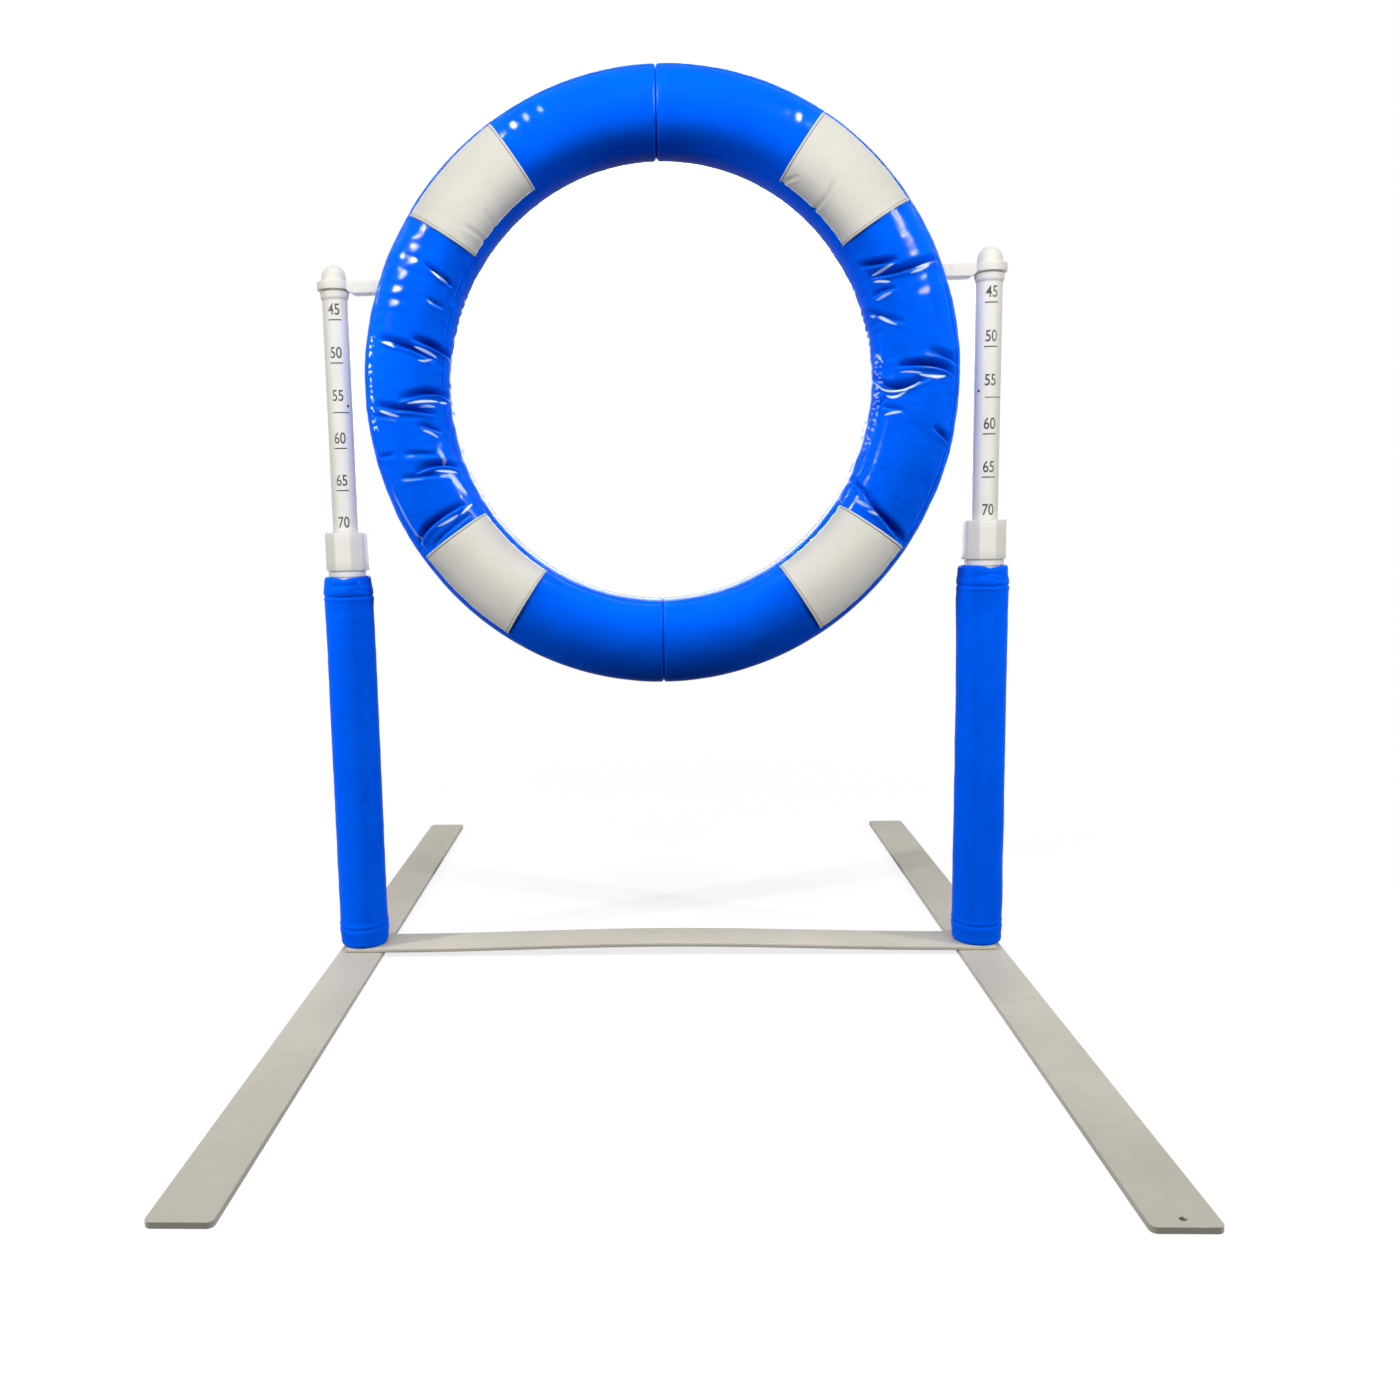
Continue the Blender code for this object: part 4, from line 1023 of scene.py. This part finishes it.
def print_mark(label, name, mesh, z, turned=0.0):
    """Wrap a flat mark round the inner tube, its middle at height z."""
    side = SIDES[label]
    bm = bmesh.new()
    bm.from_mesh(mesh)
    for k in range(-24, 25):
        everything = bm.verts[:] + bm.edges[:] + bm.faces[:]
        bmesh.ops.bisect_plane(bm, geom=everything, plane_co=(k * 0.0006, 0, 0), plane_no=(1, 0, 0))
    radius = INNER_R + 0.00008
    for v in bm.verts:
        t = v.co.x / radius - math.pi / 2 + math.radians(turned)
        v.co = Vector((side * POST_X + radius * math.cos(t), radius * math.sin(t), z + v.co.y))
    bm.to_mesh(mesh)
    bm.free()
    piece_of_mesh(f"{label}_{name}", mesh, "print", f"{label}_column")


def text_mesh(text, size, narrow):
    curve = bpy.data.curves.new("text", "FONT")
    curve.body = text
    curve.size = size
    curve.offset = 0.0002
    curve.align_x = curve.align_y = "CENTER"
    ob = linked("text", curve)
    bpy.context.view_layer.update()
    mesh = bpy.data.meshes.new_from_object(ob.evaluated_get(bpy.context.evaluated_depsgraph_get()))
    bpy.data.objects.remove(ob)
    mesh.transform(Matrix.Diagonal((narrow, 1, 1, 1)))
    return mesh


def flat_mesh(outline):
    mesh = bpy.data.meshes.new("mark")
    mesh.from_pydata([(x, y, 0) for x, y in outline], [], [list(range(len(outline)))])
    return mesh


def bar_mesh(width, height, shift=0.0):
    x0, x1, h = shift - width / 2, shift + width / 2, height / 2
    return flat_mesh([(x0, -h), (x1, -h), (x1, h), (x0, h)])


def scale_print(label):
    """Numbers of the height scale, and the marks and dots beside them."""
    turned = 6.0 if label == "left" else 0.0
    for text, z in SCALE.items():
        print_mark(label, f"number_{text}", text_mesh(text, 0.0186, 0.77), z + 0.0114, turned)
        if text == "55":
            print_mark(label, "mark_55", bar_mesh(0.0215, 0.0013, 0.0045), z - 0.0078)
            dot = arc(-0.0138 * SIDES[label], 0, 0.0017, 0, 340, 17)
            print_mark(label, "dot_55", flat_mesh(dot), z)
        elif text != "70":
            print_mark(label, f"mark_{text}", bar_mesh(0.0158, 0.0015), z, turned)


# Stage


def camera():
    """Camera fitted to the photograph, 1400 by 1400 pixels."""
    px, py, f, pitch, yaw, roll = 610.163, 666.704, 1186.929, 0.124618, -0.041892, -0.019782
    ahead = Vector((math.sin(yaw) * math.cos(pitch), math.cos(yaw) * math.cos(pitch), -math.sin(pitch)))
    right = Vector((math.cos(yaw), -math.sin(yaw), 0))
    up = right.cross(ahead)
    across = math.cos(roll) * right + math.sin(roll) * up
    above = -math.sin(roll) * right + math.cos(roll) * up
    data = bpy.data.cameras.new("camera")
    data.sensor_width = 36
    data.lens = 36 * f / 1400
    data.shift_x = (700 - px) / 1400
    data.shift_y = (py - 700) / 1400
    ob = linked("camera", data)
    turn = Matrix((across, above, -ahead)).transposed().to_4x4()
    ob.matrix_world = Matrix.Translation((-0.005062, -1.44531, 0.54095)) @ turn
    bpy.context.scene.camera = ob


def lamp(name, at, aim, size, power):
    data = bpy.data.lights.new(name, "AREA")
    data.shape = "RECTANGLE"
    data.size, data.size_y = size
    data.energy = power
    ob = linked(name, data)
    ob.location = at
    ob.rotation_euler = (Vector(aim) - Vector(at)).to_track_quat("-Z", "Y").to_euler()
    return ob


def card(name, azimuth, low, high, width, radiance):
    """Reflected light: seen in the ring's gloss and adding no light, placed by angles in degrees."""
    a, e, away = math.radians(azimuth), math.radians((low + high) / 2), 2.2
    at = (away * math.cos(e) * math.sin(a), -away * math.cos(e) * math.cos(a), RING_Z + away * math.sin(e))
    size = (2 * away * math.tan(math.radians(width / 2)), 2 * away * math.tan(math.radians((high - low) / 2)))
    ob = lamp(name, at, (0, 0, RING_Z), size, radiance * math.pi * size[0] * size[1])
    ob.visible_diffuse = False
    return ob


def world():
    """Dim light from all round, brighter from above, and a white background."""
    made = bpy.data.worlds.new("studio")
    bpy.context.scene.world = made
    made.use_nodes = True
    t = Tree(made.node_tree)
    soft = t.tree.nodes["Background"]
    soft.inputs["Color"].default_value = (0.95, 0.97, 1.0, 1.0)
    parts = t.add("ShaderNodeSeparateXYZ")
    t.link(t.add("ShaderNodeTexCoord").outputs["Generated"], parts.inputs["Vector"])
    t.link(t.between(parts.outputs["Z"], -0.35, 0.9, 0.02, 0.26), soft.inputs["Strength"])
    white = t.add("ShaderNodeBackground", {"Color": (1.0, 1.0, 1.0, 1.0), "Strength": 1.0})
    shown = t.mixed(t.seen_directly(), soft.outputs["Background"], white.outputs["Background"])
    t.link(shown, t.tree.nodes["World Output"].inputs["Surface"])


def floor():
    """Pale floor that keeps the shadow near the object and fades to white further out."""
    mesh = bpy.data.meshes.new("floor")
    e, z = 14.0, -0.0005
    mesh.from_pydata([(-e, -e, z), (e, -e, z), (e, e, z), (-e, e, z)], [], [(0, 1, 2, 3)])
    ob = linked("floor", mesh)
    mat = bpy.data.materials.new("pale_floor")
    mat.use_nodes = True
    mesh.materials.append(mat)
    t = Tree(mat.node_tree)
    t.tree.nodes.remove(t.tree.nodes["Principled BSDF"])
    pale = t.add("ShaderNodeBsdfDiffuse", {"Color": (0.92, 0.92, 0.92, 1.0)}).outputs["BSDF"]
    dim = t.add("ShaderNodeBsdfDiffuse", {"Color": (0.05, 0.05, 0.05, 1.0)}).outputs["BSDF"]
    white = t.add("ShaderNodeEmission").outputs["Emission"]
    length = t.add("ShaderNodeVectorMath", operation="LENGTH")
    t.link(t.add("ShaderNodeTexCoord").outputs["Object"], length.inputs[0])
    fade = t.between(length.outputs["Value"], 0.35, 1.5, 0.8, 1.0, interpolation_type="SMOOTHSTEP")
    shown = t.mixed(t.seen_directly(), dim, t.mixed(fade, pale, white))
    t.link(shown, t.tree.nodes["Material Output"].inputs["Surface"])


def stage():
    camera()
    world()
    floor()
    hard = [lamp("key", (0.0, -1.35, 2.7), (0, 0, 0.7), (1.8, 1.0), 46)]
    for side, name in ((-1, "left"), (1, "right")):
        hard.append(lamp(f"{name}_strip", (side * 2.3, -0.9, 1.1), (0, 0, 0.72), (0.05, 1.1), 54 - 8 * side))
        hard.append(lamp(f"{name}_bar", (side * 1.15, -0.85, 2.25), (0, 0, 0.7), (1.0, 0.025), 17))
    soft = [lamp("soft_front", (0.0, -2.1, 1.3), (0, 0, 0.75), (6.4, 2.8), 92)]
    soft.append(lamp("soft_top", (0.0, -0.7, 2.7), (0, 0, 0.7), (2.4, 1.2), 15))
    back = [lamp("back_lamp", (0.0, 2.4, 1.5), (0, 0, 0.65), (1.2, 1.2), 52)]
    soft.append(lamp("soft_back", (0.0, 2.4, 1.0), (0, 0, 0.65), (1.6, 1.6), 50))
    cards = [card("left_card", -65, 23, 58, 13, 1300), card("right_card", 60, 26, 56, 15, 1300)]
    return hard, soft, back, cards


def share_lamps(hard, soft, back, cards):
    """The pale pieces are lit by the soft lamps alone, all the rest by the firmer ones.

    The floor and the flat steel stay free of the lamp behind, which would glare on them.
    """
    names = ("pale_pieces", "other_pieces", "raised_pieces", "ring_covers")
    pale, rest, raised, covers = (bpy.data.collections.new(name) for name in names)
    for ob in bpy.context.scene.objects:
        if ob.type != "MESH":
            continue
        look = ob.data.materials[0] if ob.data.materials else None
        if look in (LOOKS["white_vinyl"], LOOKS["off_white_plastic"]):
            pale.objects.link(ob)
            continue
        rest.objects.link(ob)
        if look != LOOKS["coated_steel"] and ob.name != "floor":
            raised.objects.link(ob)
        if "padded_cover" in ob.name:
            covers.objects.link(ob)
    for lamps, group in ((hard, rest), (soft, pale), (back, raised), (cards, covers)):
        for ob in lamps:
            ob.light_linking.receiver_collection = group


def repaint_kept_nodes():
    """The rigid solids that stay get the finished materials."""
    for node, ob in frame["nodes"].items():
        look = next(look for word, look in KEPT_LOOKS.items() if word in node)
        for spot in ob.material_slots:
            spot.material = LOOKS[look]


def main():
    lamps = stage()
    repaint_kept_nodes()
    crossbar()
    for label in SIDES:
        foot_bar(label)
        post_cover(label)
        bushing(label)
        clamp_nut(label)
        column(label)
        arm(label)
        scale_print(label)
        blow_up(label)
        ring_cover(label)
        for level in ("upper", "lower"):
            white_panel(label, level)
    share_lamps(*lamps)
    bpy.context.scene.view_settings.view_transform = "Standard"


main()
